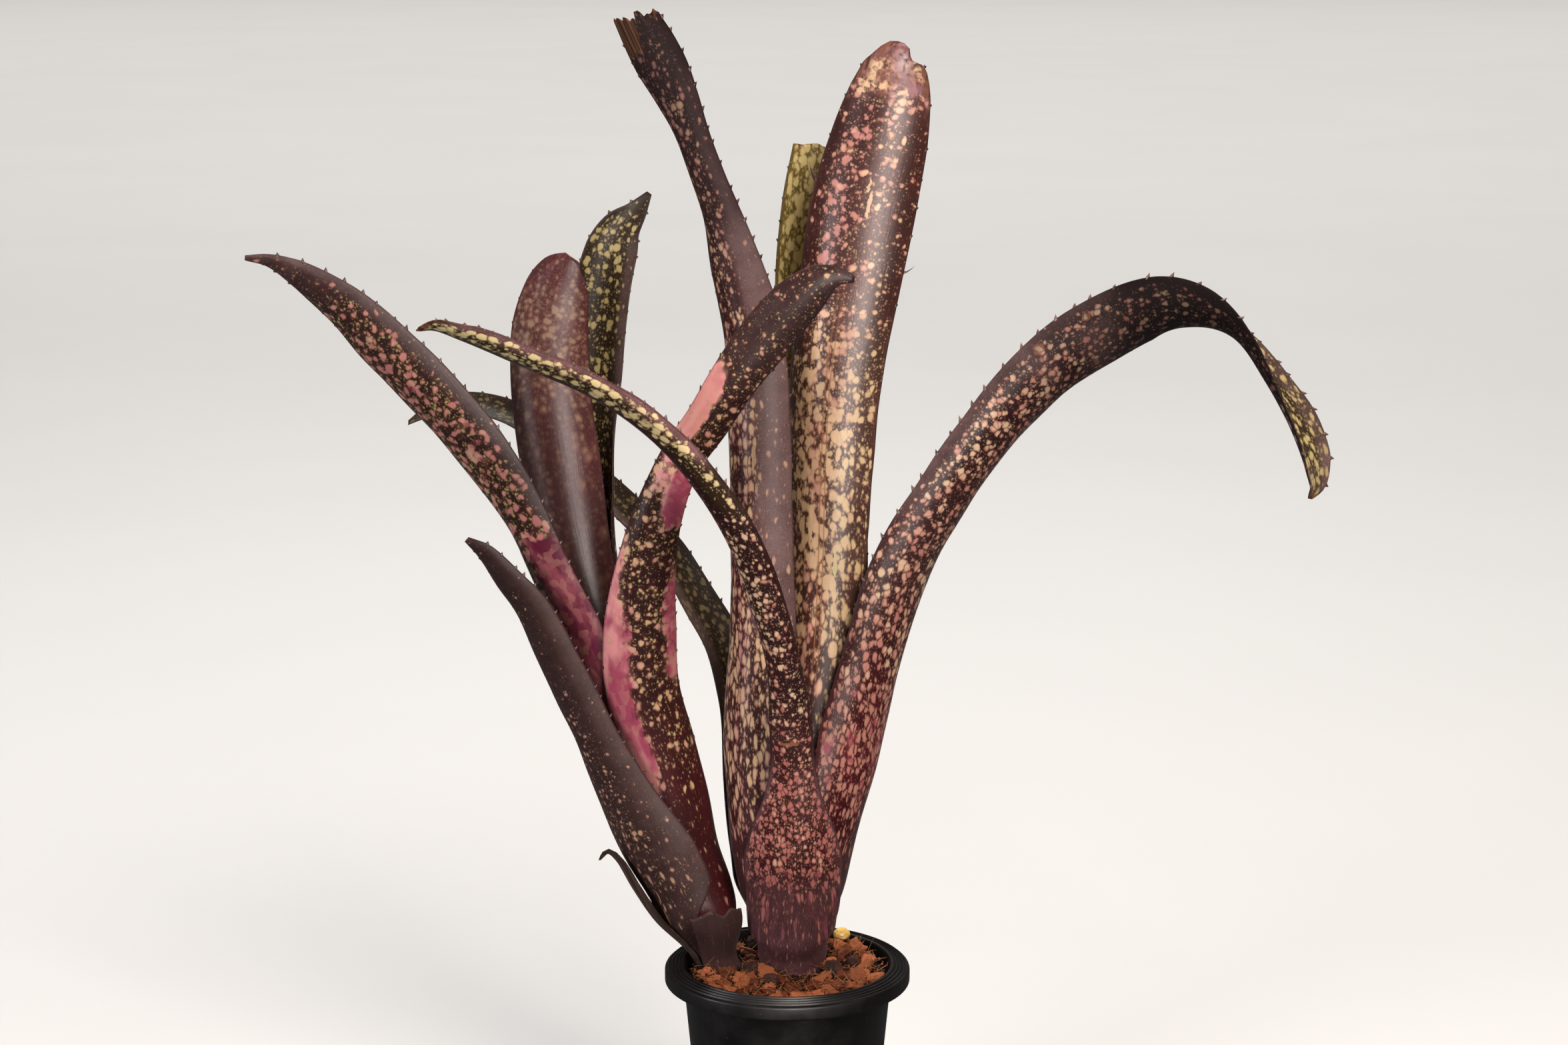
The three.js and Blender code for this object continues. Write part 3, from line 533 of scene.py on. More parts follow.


# the shade channel multiplies the skin's colour: below 1 it is painted shade, above 1 painted light
# Leaf shapes, in millimetres: the stations of the solids, though the front leaf's sheath swells up to 1.3 mm
# more here; torn is how deep a torn end goes
# cup rows are rings of the sheath: height, centre x, centre y, radius, curl, facing
# blade rows are places on the midrib: x, y, z, flat width, curl, turn of the back from the front
# outer and inner are the two skins, and each channel has values at distances from the foot, the first and
# last of which hold to the ends; washes change a channel in one place: channel, from and to along the leaf,
# left and right with the margins at -1 and 1, change
# marks are distance, place across, half width, half length, colour

sheath = {"footHeight": 69, "mixTop": 75, "mouthHeight": 82}
shoots = {
    "main": {"foot": (2.2, 10), "mouth": (2.0, 10), "flare": 1.0},
    "offset": {"foot": (-24.7, 9), "mouth": (-27, 9), "flare": 0.4},
}
leafCut = {
    "midThickness": 1.0, "marginThickness": 0.6,
    "rowPitch": 1.35, "stepsPerSpan": 40, "columns": 26, "rimPoints": 3,
    "toothWidth": 1.15, "toothThickness": 0.3, "toothSink": 0.35, "toothSides": 6,
    "wavyFrom": 60, "wavyAt": 110, "waveShare": 0.012, "ripple": 0.16, "tornReach": 14, "tornThinning": 0.45,
    "innerSkinShift": (130.0, 70.0),
}

leafMainFront = {
    "node": "leaf_main_front", "slot": "leaf_pink", "ring": 11.8, "wrap": 80, "facing": 0,
    "cup": [(88, 1.9, 10, 15.7, 78, 0), (95, 1.7, 10, 16.9, 74, 0), (108, 2.2, 11.5, 21, 55, 0),
            (122, 2, 11, 24, 47, 0), (134, 2, 10, 24, 39, 0)],
    "blade": [(2, -15, 148, 21.5, 33, 0), (2, -16, 161, 16.6, 40, 0), (1, -18, 176, 16.9, 50, -3),
              (-2, -22, 199, 14.5, 60, -10), (-9, -27, 224, 16, 62, -22), (-19, -32, 248, 18, 64, -40),
              (-35, -37, 272, 20, 64, -56), (-48, -41, 286, 23, 64, -66), (-66, -48, 300, 24.5, 62, -72),
              (-87, -55, 311, 25, 58, -74), (-109, -62, 322, 23, 50, -74), (-118, -66, 326, 15, 40, -74),
              (-123, -68, 326, 3, 20, -70)],
    "seed": 3, "cell": 2.8, "roughness": 0.36, "rim": 0.5, "bare": 1, "gap": 0.06, "gloss": 0.1,
    # the yellow is lighter than the spots' own, partly painted light on the arch, which turns away from the
    # lamps
    "skin": {"cream": "e6c09c", "pink": "bc6c66", "crimson": "3c1013", "redRing": "44171a",
             "yellow": "ffeaa0", "olive": "3c3110", "scurf": "7c5558", "flush": "96464c",
             "magenta": "7c2a3c"},
    "outer": {"cover": {0: -0.2, 18: 0.05, 32: 0.2, 44: 0.42, 52: 0.56, 66: 0.62, 80: 0.6, 92: 0.54,
                        99: 0.46, 108: 0.4, 150: 0.46, 185: 0.44, 205: 0.6, 235: 0.7},
              "pink": {0: 1.3, 50: 1.2, 62: 1, 75: 1.1, 95: 0.9, 110: 0.2, 190: 0.1, 210: 0},
              "crimson": {0: 0.25, 40: 0.6, 52: 1.1, 80: 1, 100: 0.6, 118: 0.1},
              "frost": {0: 0.3, 34: 0.4, 46: 0.25, 54: 0.04, 95: 0.04, 104: 0.12, 118: 0.05, 324: 0.02},
              "flush": {0: 0.1, 40: 0.3, 62: 0.22, 80: 0.1, 95: 0}, "green": {185: 0, 202: 0.55, 324: 0.85},
              "dry": {317: 0, 322: 0.6, 324: 1},
              # the frost washes along both margins of the sheath, from 44 to 96, are the margins' pale bloom
              # and partly a painted highlight on their lit edges
              "washes": [("cover", 100, 324, 0.92, 1.2, -0.5), ("frost", 44, 96, 0.88, 1.3, 0.4),
                         ("frost", 44, 96, -1.3, -0.88, 0.4), ("frost", 74, 92, 0.1, 1.2, 0.2),
                         ("cover", 190, 222, -1.2, 0.5, -0.55), ("cover", 222, 324, -1.2, 0.22, -1),
                         # the frost and shade washes on the arch's upper margin, from 215 to 318, make its
                         # pale edge: frost, lightened by painted light
                         ("green", 186, 324, -1.2, 0.2, -0.7), ("frost", 215, 318, 0.7, 1.3, 0.6),
                         ("shade", 215, 318, 0.68, 1.3, 0.9), ("crimson", 44, 80, -1.2, -0.5, 0.3)]},
    "inner": {"cover": {0: 0.5, 190: 0.7, 300: 0.8, 324: 0.3}, "green": {0: 0.5, 324: 0.85},
              "dry": {316: 0, 324: 0.9}},
    "marks": [(102, -0.1, 3.6, 0.8, "scar"), (26, 0.62, 0.8, 8, "streak"), (34, -0.45, 0.5, 5, "streak"),
              (30, 0.05, 0.45, 3.5, "streak"), (26, -0.15, 0.4, 3, "streak"),
              (22, -0.62, 0.5, 6, "streak")],
    "spotSize": {0: 0.85, 42: 0.66, 90: 0.72, 108: 0.85, 185: 0.9, 222: 1.3, 300: 1.3, 324: 1.1},
    "stretch": {0: 6, 38: 5, 45: 2.4, 60: 1.6, 80: 1.6, 96: 1.3},
    "teeth": {"from": 100, "pitch": 5, "size": 1.25, "base": "8a6456", "tip": "4a2c26"},
}
leafMainLeft = {
    "node": "leaf_main_left", "slot": "leaf_dark", "ring": 8.6, "wrap": 100, "facing": -35,
    "cup": [(95, 0.8, 10.3, 12.7, 88, -35), (108, -1, 12, 16.6, 85, -35), (122, -0.5, 12.3, 19.8, 78, -35),
            (148, -5, 13, 17.3, 70, -35)],
    "blade": [(-15, 0, 169, 44.7, 68, -35), (-14, 2, 205, 36.1, 68, -35), (-14, 3, 242, 33.4, 66, -35),
              (-14, 4, 278, 31.5, 60, -32), (-15, 6, 314, 27.3, 52, -28), (-20, 7, 337, 22.9, 48, -25),
              (-26, 8, 356, 19.2, 58, -35), (-34, 8, 377, 18.3, 66, -40), (-40, 8, 395, 18.9, 52, -28),
              (-46, 8, 409, 20.4, 42, -18), (-54, 8, 426, 17, 36, -12)],
    "seed": 11, "cell": 2.5, "roughness": 0.33, "rim": 0.4, "bare": 0.8, "gap": 0.1, "gloss": 0.15,
    "skin": {"cream": "dcb68c", "redRing": "5c2820"},
    "outer": {"cover": {0: 0, 55: 0.05, 65: 0.45, 85: 0.56, 110: 0.64, 150: 0.64, 205: 0.56, 235: 0.46,
                        260: 0.42, 330: 0.42, 350: 0.25, 366: 0.1},
              "pink": {0: 0.8, 70: 0.7, 100: 0.3, 240: 0.25, 290: 0.6},
              "crimson": {0: 0.2, 60: 0.5, 150: 0.5, 250: 0.35, 366: 0.3},
              # the shade rows are painted shade that darkens the neck and the tip
              "frost": {0: 0.2, 52: 0.12, 75: 0.02}, "shade": {245: 1, 290: 0.6, 325: 0.4, 366: 0.32},
              "dry": {358: 0, 366: 0.5},
              "washes": [("dry", 352, 372, -1.3, -0.15, 0.9), ("cover", 140, 285, 0.3, 1.2, -0.38),
                         ("frost", 140, 285, 0.15, 1.2, 0.75), ("frost", 285, 340, 0.5, 1.2, 0.2),
                         ("cover", 285, 366, 0.5, 1.2, -0.4), ("frost", 70, 150, 0.5, 1.2, 0.1)]},
    "inner": {"dry": {340: 0, 356: 0.85}},
    "marks": [(203, 0.15, 0.8, 7, "cream"), (191, 0.22, 0.6, 3, "cream"), (222, 0.35, 0.6, 2.2, "cream")],
    "spotSize": {0: 0.8, 150: 0.85, 200: 1, 366: 0.9},
    "stretch": {0: 6, 60: 4, 100: 3, 200: 2.2, 260: 1.7, 366: 1.5},
    "torn": 5,
    "teeth": {"from": 200, "pitch": 7, "size": 1.4, "base": "6a4a40", "tip": "2f1816"},
}
leafMainCentre = {
    "node": "leaf_main_centre", "slot": "leaf_pink", "ring": 5.4, "wrap": 105, "facing": -14,
    "cup": [(95, 2.2, 10.5, 9.5, 90, -14), (108, 2.5, 12, 11.5, 82, -14), (122, 3.5, 13.5, 12.5, 72, -14),
            (148, 6, 16.5, 13.5, 62, -14)],
    "blade": [(10, 4, 192, 30.9, 58, -14), (12, 5, 229, 33.9, 56, -18), (13, 6, 266, 36.5, 52, -20),
              (15, 7, 300, 39.2, 50, -20), (21, 9, 338, 41.9, 46, -18), (26, 10, 362, 41.6, 43, -15),
              (32, 12, 384, 36.9, 40, -12), (36, 13, 399, 30.3, 35, -10), (38, 14, 407, 23.7, 30, -8),
              (39.5, 14, 412, 13, 22, -8), (42, 14, 414.5, 2.5, 15, -8)],
    "seed": 23, "cell": 3.1, "soft": 0.12, "roughness": 0.32, "rim": 0.3, "bare": 0.6, "merge": 0.85,
    "fine": 0.65, "fleck": 0.3, "gloss": 0.27,
    "skin": {"pink": "cc8478", "cream": "e6be94", "yellow": "dcc684", "dark": "27130f", "flush": "7c4a3e",
             "magenta": "8c6270", "scurf": "a37466", "dry": "84503c"},
    "outer": {"cover": {0: 0.1, 95: 0.28, 120: 0.42, 140: 0.62, 165: 0.78, 225: 0.78, 240: 0.62, 255: 0.46,
                        275: 0.36, 325: 0.36, 334: 0.6, 351: 0.7},
              "pink": {0: 0.7, 130: 0.45, 160: 0.12, 235: 0.12, 252: 0.45, 300: 0.5, 325: 0.4, 351: 0.6},
              "crimson": {0: 0.3, 140: 0.25, 250: 0.2, 262: 0.4, 330: 0.35, 351: 0.2},
              "frost": {0: 0.05, 130: 0.06, 160: 0.14, 235: 0.14, 262: 0.05, 325: 0.04, 340: 0.14,
                        351: 0.1}, "flush": {322: 0, 336: 0.5, 351: 0.7},
              "dry": {330: 0, 340: 0.3, 351: 0.5}, "rib": {115: 0, 135: 0.9, 240: 0.8, 265: 0},
              "washes": [("cover", 120, 335, -1.2, -0.72, -0.45), ("cover", 150, 330, 0.5, 1.2, -0.28),
                         ("green", 110, 262, 0.3, 1.2, 0.32), ("pink", 248, 322, -0.75, -0.15, 0.6),
                         ("cover", 248, 322, -0.75, -0.25, 0.2), ("green", 262, 330, 0.45, 1.2, 0.2),
                         ("frost", 235, 322, -0.05, 0.6, 0.12), ("dry", 322, 350, -1.2, -0.75, 0.35),
                         ("dry", 322, 350, 0.75, 1.2, 0.35)]},
    "inner": {"cover": {0: 0.6}},
    "marks": [(293, 0.17, 0.7, 5.5, "cream"), (300, 0.1, 0.6, 2.5, "cream"), (310, -0.42, 1.5, 1.5, "ring"),
              (319, 0.25, 1.4, 1.4, "ring"), (213, -0.92, 1.3, 1.6, "ring"), (133, -0.45, 1.3, 1.6, "ring"),
              (176, -0.25, 0.9, 8, "cream"), (163, 0.3, 0.7, 6, "yellow")],
    "spotSize": {0: 1, 130: 0.9, 215: 0.84, 240: 0.95, 262: 1.12, 351: 1.1},
    "stretch": {0: 4, 110: 3, 150: 2.1, 210: 1.7, 240: 1.2, 260: 1},
    "teeth": {"from": 250, "pitch": 13, "size": 1, "base": "6a4238", "tip": "301614"},
    "spines": [(297, -1, 7.5, 2.6), (271, 1, 4.6, 1)],
}
leafMainBack = {
    "node": "leaf_main_back", "slot": "leaf_olive", "ring": 7, "wrap": 98, "facing": 180,
    "cup": [(95, 2.2, 10, 11.1, 88, 180), (108, 2.5, 11.5, 13.5, 80, 180), (122, 3.5, 14, 14.5, 70, 180)],
    "blade": [(7, 36, 146, 30, 60, 180), (11, 38, 184, 32.4, 58, 180), (14, 40, 219, 35.7, 55, 180),
              (12, 41, 284, 36.4, 52, 180), (11, 40, 328, 34.3, 48, 180), (12, 39, 357, 30.4, 45, 180),
              (14, 38, 378, 25.5, 40, 180)],
    "seed": 31, "cell": 2.5, "strength": 0.9, "soft": 0.16, "merge": 0.8, "roughness": 0.4, "rim": 0.2,
    "bare": 0.6,
    # the olive and yellow are set lighter than the leaf's own, partly painted light where the leaves in front
    # shadow it
    "skin": {"olive": "6a5820", "yellow": "dcc486"},
    "outer": {"cover": {0: 0.1, 70: 0.5}, "pink": {0: 0.6, 313: 0.3},
              "crimson": {0: 0.2, 120: 0.25, 200: 0.05}, "frost": {0: 0.3, 80: 0.1},
              "dry": {309: 0, 313: 0.7}},
    "inner": {"cover": {0: 0.5, 260: 0.62, 313: 0.72}, "green": {0: 0.9, 313: 1},
              "dry": {309: 0, 313: 0.5}},
    "stretch": {0: 2.6, 120: 2, 313: 1.7},
    "torn": 1.2,
    "teeth": {"from": 150, "pitch": 9, "size": 1.2, "base": "4a3d22", "tip": "2a1d16"},
}
leafMainRight = {
    "node": "leaf_main_right", "slot": "leaf_dark", "ring": 10.1, "wrap": 76, "facing": 60,
    "cup": [(95, 2, 10.1, 14.1, 72, 60), (108, 3.3, 10, 17.4, 72, 60), (122, 4.2, 9.8, 19.6, 75, 60),
            (134, 8, 11.5, 18.8, 72, 60)],
    "blade": [(29.5, 4, 153, 47, 68, 58), (32, 4, 169, 44.3, 66, 52), (36, 4, 191, 37.4, 64, 45),
              (46, 4, 227, 34.9, 60, 38), (59, 5, 252, 30.9, 58, 34), (74, 6, 275, 29.4, 54, 30),
              (93, 7, 297, 30.8, 50, 26), (111, 9, 310, 31.8, 48, 24), (132, 12, 318, 32.2, 46, 32),
              (146, 14, 317, 31, 46, 55), (160, 15, 311, 25, 46, 86), (171, 14, 297, 24.7, 44, 104),
              (181, 12, 281, 26.3, 42, 114), (188, 11, 266, 21, 38, 125), (190, 11, 258, 10.7, 28, 130),
              (188, 11, 253, 2.5, 15, 130)],
    "seed": 43, "cell": 2.9, "roughness": 0.32, "rim": 0.15, "bare": 0.8, "gap": 0.1, "gloss": 0.09,
    "skin": {"cream": "e0bd9a", "pink": "c68474", "dark": "261413", "crimson": "480f18",
             "redRing": "44181a", "flush": "a84c5c", "magenta": "a03a50"},
    "outer": {"cover": {0: -0.3, 44: -0.1, 56: 0.4, 84: 0.58, 100: 0.6, 140: 0.62, 175: 0.54, 255: 0.52,
                        280: 0.42, 330: 0.34, 390: 0.46},
              "pink": {0: 1.4, 104: 1.3, 124: 0.8, 155: 0.55, 200: 0.45, 390: 0.5},
              "crimson": {0: 0.1, 46: 0.5, 70: 0.9, 88: 1.3, 108: 1.1, 132: 0.5, 160: 0.3, 190: 0.1,
                          390: 0.05}, "flush": {0: 0, 60: 0.1, 82: 0.28, 98: 0.38, 114: 0.2, 126: 0},
              # the shade rows are painted shade on the arch, darkest where it faces down
              "shade": {225: 1, 262: 0.55, 290: 0.25, 330: 0.3, 390: 0.8},
              "frost": {0: 0.3, 50: 0.15, 65: 0.02, 140: 0.05, 165: 0.14, 210: 0.04, 390: 0.05},
              "washes": [("cover", 180, 320, -1.2, -0.84, -0.7), ("frost", 180, 280, -1.2, -0.8, 0.45),
                         ("frost", 264, 278, -0.5, 1.2, 0.45), ("frost", 246, 252, -1.2, 0.2, 0.4),
                         ("pink", 200, 300, 0.4, 1.2, 0.35)]},
    "inner": {"cover": {0: 0.6, 340: 0.5, 380: 0.6, 390: 0.8}, "green": {0: 0.7, 330: 0.85, 390: 0.95},
              "frost": {0: 0.05, 370: 0.1, 390: 0.5}, "dry": {384: 0, 390: 0.9},
              "washes": [("frost", 330, 390, 0.55, 1.2, 0.4)]},
    "marks": [(252, -0.72, 1.8, 1.8, "ring"), (270, -0.7, 1.5, 1.5, "ring")],
    "spotSize": {0: 0.8, 60: 0.68, 110: 0.76, 150: 0.92, 185: 1.05, 390: 1},
    "stretch": {0: 6, 55: 4, 75: 2.5, 110: 2.2, 150: 1.7, 185: 1.1, 325: 1, 340: 1.8},
    "teeth": {"from": 150, "pitch": 7.6, "size": 1.6, "base": "8a6a5c", "tip": "3f241f"},
}
leafMainFar = {
    "node": "leaf_main_far", "slot": "leaf_olive", "ring": 10.2, "wrap": 60, "facing": -150,
    "cup": [(95, 1.4, 10.2, 14.5, 60, -150), (108, -0.5, 12.8, 18.6, 58, -150),
            (122, -1.3, 14.8, 20, 55, -150), (148, -6, 20, 18, 50, -150)],
    "blade": [(-20, 32, 175, 19, 50, -150), (-25, 36, 193, 17, 46, -148), (-33, 42, 206, 16, 44, -145),
              (-46, 51, 225, 15, 42, -140), (-64, 62, 241, 14, 40, -135), (-84, 72, 257, 13.5, 38, -130),
              (-107, 84, 271, 13, 36, -125), (-125, 92, 273, 12, 34, -120), (-139, 97, 269, 7, 25, -118),
              (-146, 99, 265, 2.5, 20, -118)],
    "seed": 53, "cell": 2.4, "strength": 0.5, "roughness": 0.45, "rim": 0.2, "bare": 0.8,
    "skin": {"olive": "262010", "yellow": "8f8450"},
    "outer": {"cover": {0: 0.1, 80: 0.5, 298: 0.45}, "pink": {0: 0.5, 298: 0.2},
              "crimson": {0: 0.3, 150: 0.1}, "frost": {0: 0.2, 298: 0.1}, "green": {0: 0.1, 298: 0.5}},
    "inner": {"cover": {0: 0.4, 298: 0.5}, "green": {0: 0.7, 298: 0.9},
              "washes": [("frost", 90, 200, 0.4, 1.2, 0.4)]},
    "stretch": {0: 2.2, 120: 1.6, 298: 1.3},
    "teeth": {"from": 120, "pitch": 8, "size": 1.2, "base": "4a3d22", "tip": "2a1d16"},
}
leafOffsetOuter = {
    "node": "leaf_offset_outer", "slot": "leaf_grey", "ring": 6.65, "wrap": 42, "facing": -45,
    "cup": [(95, -31.5, 10.5, 13.3, 45, -45), (106, -33, 16.3, 19.4, 62, -42)],
    "blade": [(-53, 1, 120, 44, 58, -40), (-62, 0, 142, 31.9, 50, -36), (-71, -2, 165, 22.8, 48, -33),
              (-82, -4, 191, 20.4, 45, -30), (-93, -6, 216, 16.8, 42, -30), (-100, -7, 226, 13, 38, -30),
              (-108, -8, 237, 7.8, 32, -28), (-114, -8, 242, 2.4, 20, -25)],
    "seed": 61, "cell": 2.6, "roughness": 0.4, "rim": 0.5, "bare": 2.4, "fine": 0.55,
    "skin": {"dark": "2c1c19", "scurf": "6e4f4a", "cream": "c9a07c", "redRing": "48292a"},
    "outer": {"cover": {0: 0, 30: 0.12, 60: 0.26, 85: 0.3, 120: 0.12, 135: -0.1, 195: -0.2},
              "pink": {0: 0.2, 195: 0.25}, "frost": {0: 0.15, 60: 0.18, 195: 0.12},
              "washes": [("frost", 40, 170, 0.4, 1.2, 0.18), ("cover", 55, 195, 0.25, 1.2, -0.35),
                         ("cover", 30, 75, 0, 0.5, 0.12)]},
    "inner": {"cover": {0: 0.3}, "green": {0: 0.3, 195: 0.4}},
    "marks": [(33, -0.15, 0.4, 5, "cream"), (24, -0.35, 0.35, 4, "cream"), (42, -0.05, 0.35, 2.5, "cream")],
    "stretch": {0: 3, 45: 2.2, 65: 1.3, 90: 1},
    "teeth": {"from": 50, "pitch": 5.6, "size": 1.35, "base": "4a1e22", "tip": "260e10"},
}
leafOffsetCross = {
    "node": "leaf_offset_cross", "slot": "leaf_pink", "ring": 5.3, "wrap": 88, "facing": 20,
    "cup": [(95, -29, 10.6, 10, 78, 20), (106, -34, 15, 13.3, 66, 20)],
    "blade": [(-35, 3, 120, 33.2, 62, 22), (-39, 2, 141, 31.2, 58, 20), (-44, 0, 161, 29.4, 55, 16),
              (-51, -4, 185, 30.7, 52, 12), (-52, -8, 209, 29.3, 52, 8), (-50, -12, 231, 24.1, 52, 5),
              (-46, -16, 251, 19.3, 50, 0), (-38, -20, 272, 16.5, 48, -5), (-28, -23, 287, 17.1, 46, -5),
              (-19, -26, 302, 18.1, 44, -5), (-8, -28, 317, 19.7, 42, -5), (2, -30, 329, 18.4, 40, -5),
              (11, -31, 337, 13.1, 35, -5), (17, -31, 339, 6.6, 25, -5), (23, -31, 338, 2, 15, -5)],
    "seed": 71, "cell": 3.1, "roughness": 0.34, "rim": 0.3, "bare": 0.6, "fleck": 0.7,
    "skin": {"flush": "ea9c98", "magenta": "a8485e", "cream": "d8ac84", "yellow": "c8bc74"},
    "outer": {"cover": {0: -0.3, 70: -0.1, 95: 0.3, 140: 0.36, 200: 0.38, 240: 0.36, 256: 0.18, 307: 0.1},
              "pink": {0: 0.9, 100: 0.5, 150: 0.3, 190: 0.25, 220: 0.5, 250: 0.4},
              "crimson": {0: 0.8, 80: 0.85, 110: 0.45, 150: 0.15, 307: 0.05},
              "frost": {0: 0.04, 240: 0.03, 258: 0.14}, "flush": {0: 0},
              "washes": [("flush", 82, 152, -1.3, -0.35, 1.1), ("pink", 60, 150, -1.4, -0.3, 0.55),
                         ("flush", 150, 178, -1.3, -0.7, 0.8), ("flush", 60, 90, -1.3, -0.5, 0.5),
                         ("flush", 122, 168, 0.62, 1.3, 1), ("pink", 120, 172, 0.4, 1.2, 0.7),
                         ("flush", 189, 208, 0.1, 1.4, 1.4), ("pink", 186, 210, 0.05, 1.4, 0.9),
                         ("flush", 214, 247, -1.4, -0.15, 1.4), ("pink", 213, 246, -1.2, 0.2, -0.4),
                         ("flush", 198, 210, -0.7, 0, 0.9), ("pink", 196, 212, -0.8, 0.1, -0.2)]},
    "inner": {"cover": {0: 0.5}, "green": {0: 0.5, 307: 0.6}},
    "spotSize": {0: 0.9, 110: 0.95, 150: 1},
    "stretch": {0: 3, 90: 2, 140: 1.1, 307: 1},
    "teeth": {"from": 90, "pitch": 7, "size": 1.3, "base": "5a2a2c", "tip": "260e10"},
}
leafOffsetLong = {
    "node": "leaf_offset_long", "slot": "leaf_dark", "ring": 3.95, "wrap": 88, "facing": -60,
    "cup": [(95, -30.4, 10.8, 7.8, 80, -58), (106, -35.5, 15.5, 10.6, 68, -52)],
    "blade": [(-49, 8.6, 121, 26, 58, -48), (-60, 8, 152, 31.8, 58, -45), (-71, 5, 183, 28.1, 52, -42),
              (-79, 3, 206, 26, 48, -40), (-89, 1, 230, 22.5, 46, -38), (-95, 0, 245, 22.5, 44, -36),
              (-105, -1, 262, 26.2, 42, -34), (-116, -2, 278, 27, 40, -32), (-130, -3, 295, 26.6, 38, -30),
              (-143, -4, 309, 25.6, 36, -30), (-158, -4, 325, 19.2, 33, -28),
              (-174, -4, 337, 10.2, 28, -25), (-182, -4, 341, 4.8, 20, -22), (-190, -4, 342, 1.6, 15, -20)],
    "seed": 83, "cell": 3.4, "strength": 0.95, "fleck": 0.85, "roughness": 0.35, "rim": 0.2, "bare": 0.9,
    "merge": 0.8,
    "skin": {"cream": "cfa886", "pink": "cc7e7a", "yellow": "b8a868", "magenta": "661f36",
             "flush": "984c56"},
    "outer": {"cover": {0: 0, 100: 0.12, 150: 0.36, 185: 0.54, 270: 0.52, 292: 0.38, 306: 0.12, 329: 0},
              "pink": {0: 1, 150: 0.95, 200: 0.7, 260: 0.75},
              "crimson": {0: 0.6, 120: 0.5, 170: 0.25, 200: 0.05},
              "frost": {200: 0.04, 290: 0.08, 329: 0.3},
              "washes": [("flush", 95, 185, -0.2, 1.3, 0.95), ("cover", 190, 329, 0.68, 1.3, -0.6),
                         ("frost", 190, 329, 0.6, 1.3, 0.22), ("cover", 90, 170, -1.2, -0.45, -0.25),
                         ("flush", 204, 240, -0.5, 0.6, 0.3), ("flush", 244, 262, -0.4, 0.5, 0.25)]},
    "inner": {"cover": {0: 0.5}, "green": {0: 0.4, 329: 0.6}},
    "spotSize": {0: 0.9, 185: 1, 329: 0.9},
    "stretch": {0: 3, 120: 2, 170: 1.2, 329: 1},
    "teeth": {"from": 110, "pitch": 6.6, "size": 1.35, "base": "6a4a44", "tip": "2f1718"},
}
leafOffsetUpright = {
    "node": "leaf_offset_upright", "slot": "leaf_dark", "ring": 2.6, "wrap": 80, "facing": -10,
    "cup": [(95, -30, 10.8, 5.6, 74, -10), (106, -34.5, 16, 7, 66, -10)],
    "blade": [(-41, 11, 121, 17, 62, -10), (-50, 14, 139, 19.6, 58, -10), (-62, 17.4, 173, 24, 56, -10),
              (-74, 20, 213, 27.4, 54, -10), (-80, 22, 238, 31, 52, -10), (-84, 23, 262, 33.9, 50, -10),
              (-87, 24, 287, 33, 48, -10), (-87, 25, 311, 31.2, 44, -10), (-83.5, 26, 327, 25.2, 40, -10),
              (-80.5, 26, 334, 17.4, 34, -10), (-77.5, 26, 338.5, 5.5, 20, -10)],
    "seed": 97, "cell": 4.4, "strength": 0.45, "soft": 0.3, "merge": 0.8, "fine": 0.2, "fleck": 0.5,
    "gloss": 0.17, "roughness": 0.3, "rim": 0.3, "bare": 1,
    "skin": {"dark": "472a29", "crimson": "551f25", "cream": "c4a284", "pink": "a06c64",
             "redRing": "54282a"},
    "outer": {"cover": {0: 0.1, 100: 0.2, 200: 0.2, 226: 0.28, 236: 0.56, 264: 0.58, 272: 0.22, 283: 0.05},
              "pink": {0: 0.8, 200: 0.6, 236: 0.2, 268: 0, 283: 0.4},
              "crimson": {0: 0.6, 150: 0.55, 240: 0.45, 283: 0.8}, "frost": {0: 0.14, 150: 0.16, 283: 0.04},
              "washes": [("frost", 60, 250, -0.6, -0.35, 0.12), ("crimson", 60, 262, 0.4, 1.2, 0.3)]},
    "inner": {"cover": {0: 0.5}, "green": {0: 0.4, 283: 0.6}},
    "spotSize": {215: 1, 238: 0.62},
    "stretch": {0: 2.4, 120: 1.5, 283: 1},
    "teeth": {"from": 150, "pitch": 11, "size": 0.9, "base": "5a3638", "tip": "2a1416"},
}
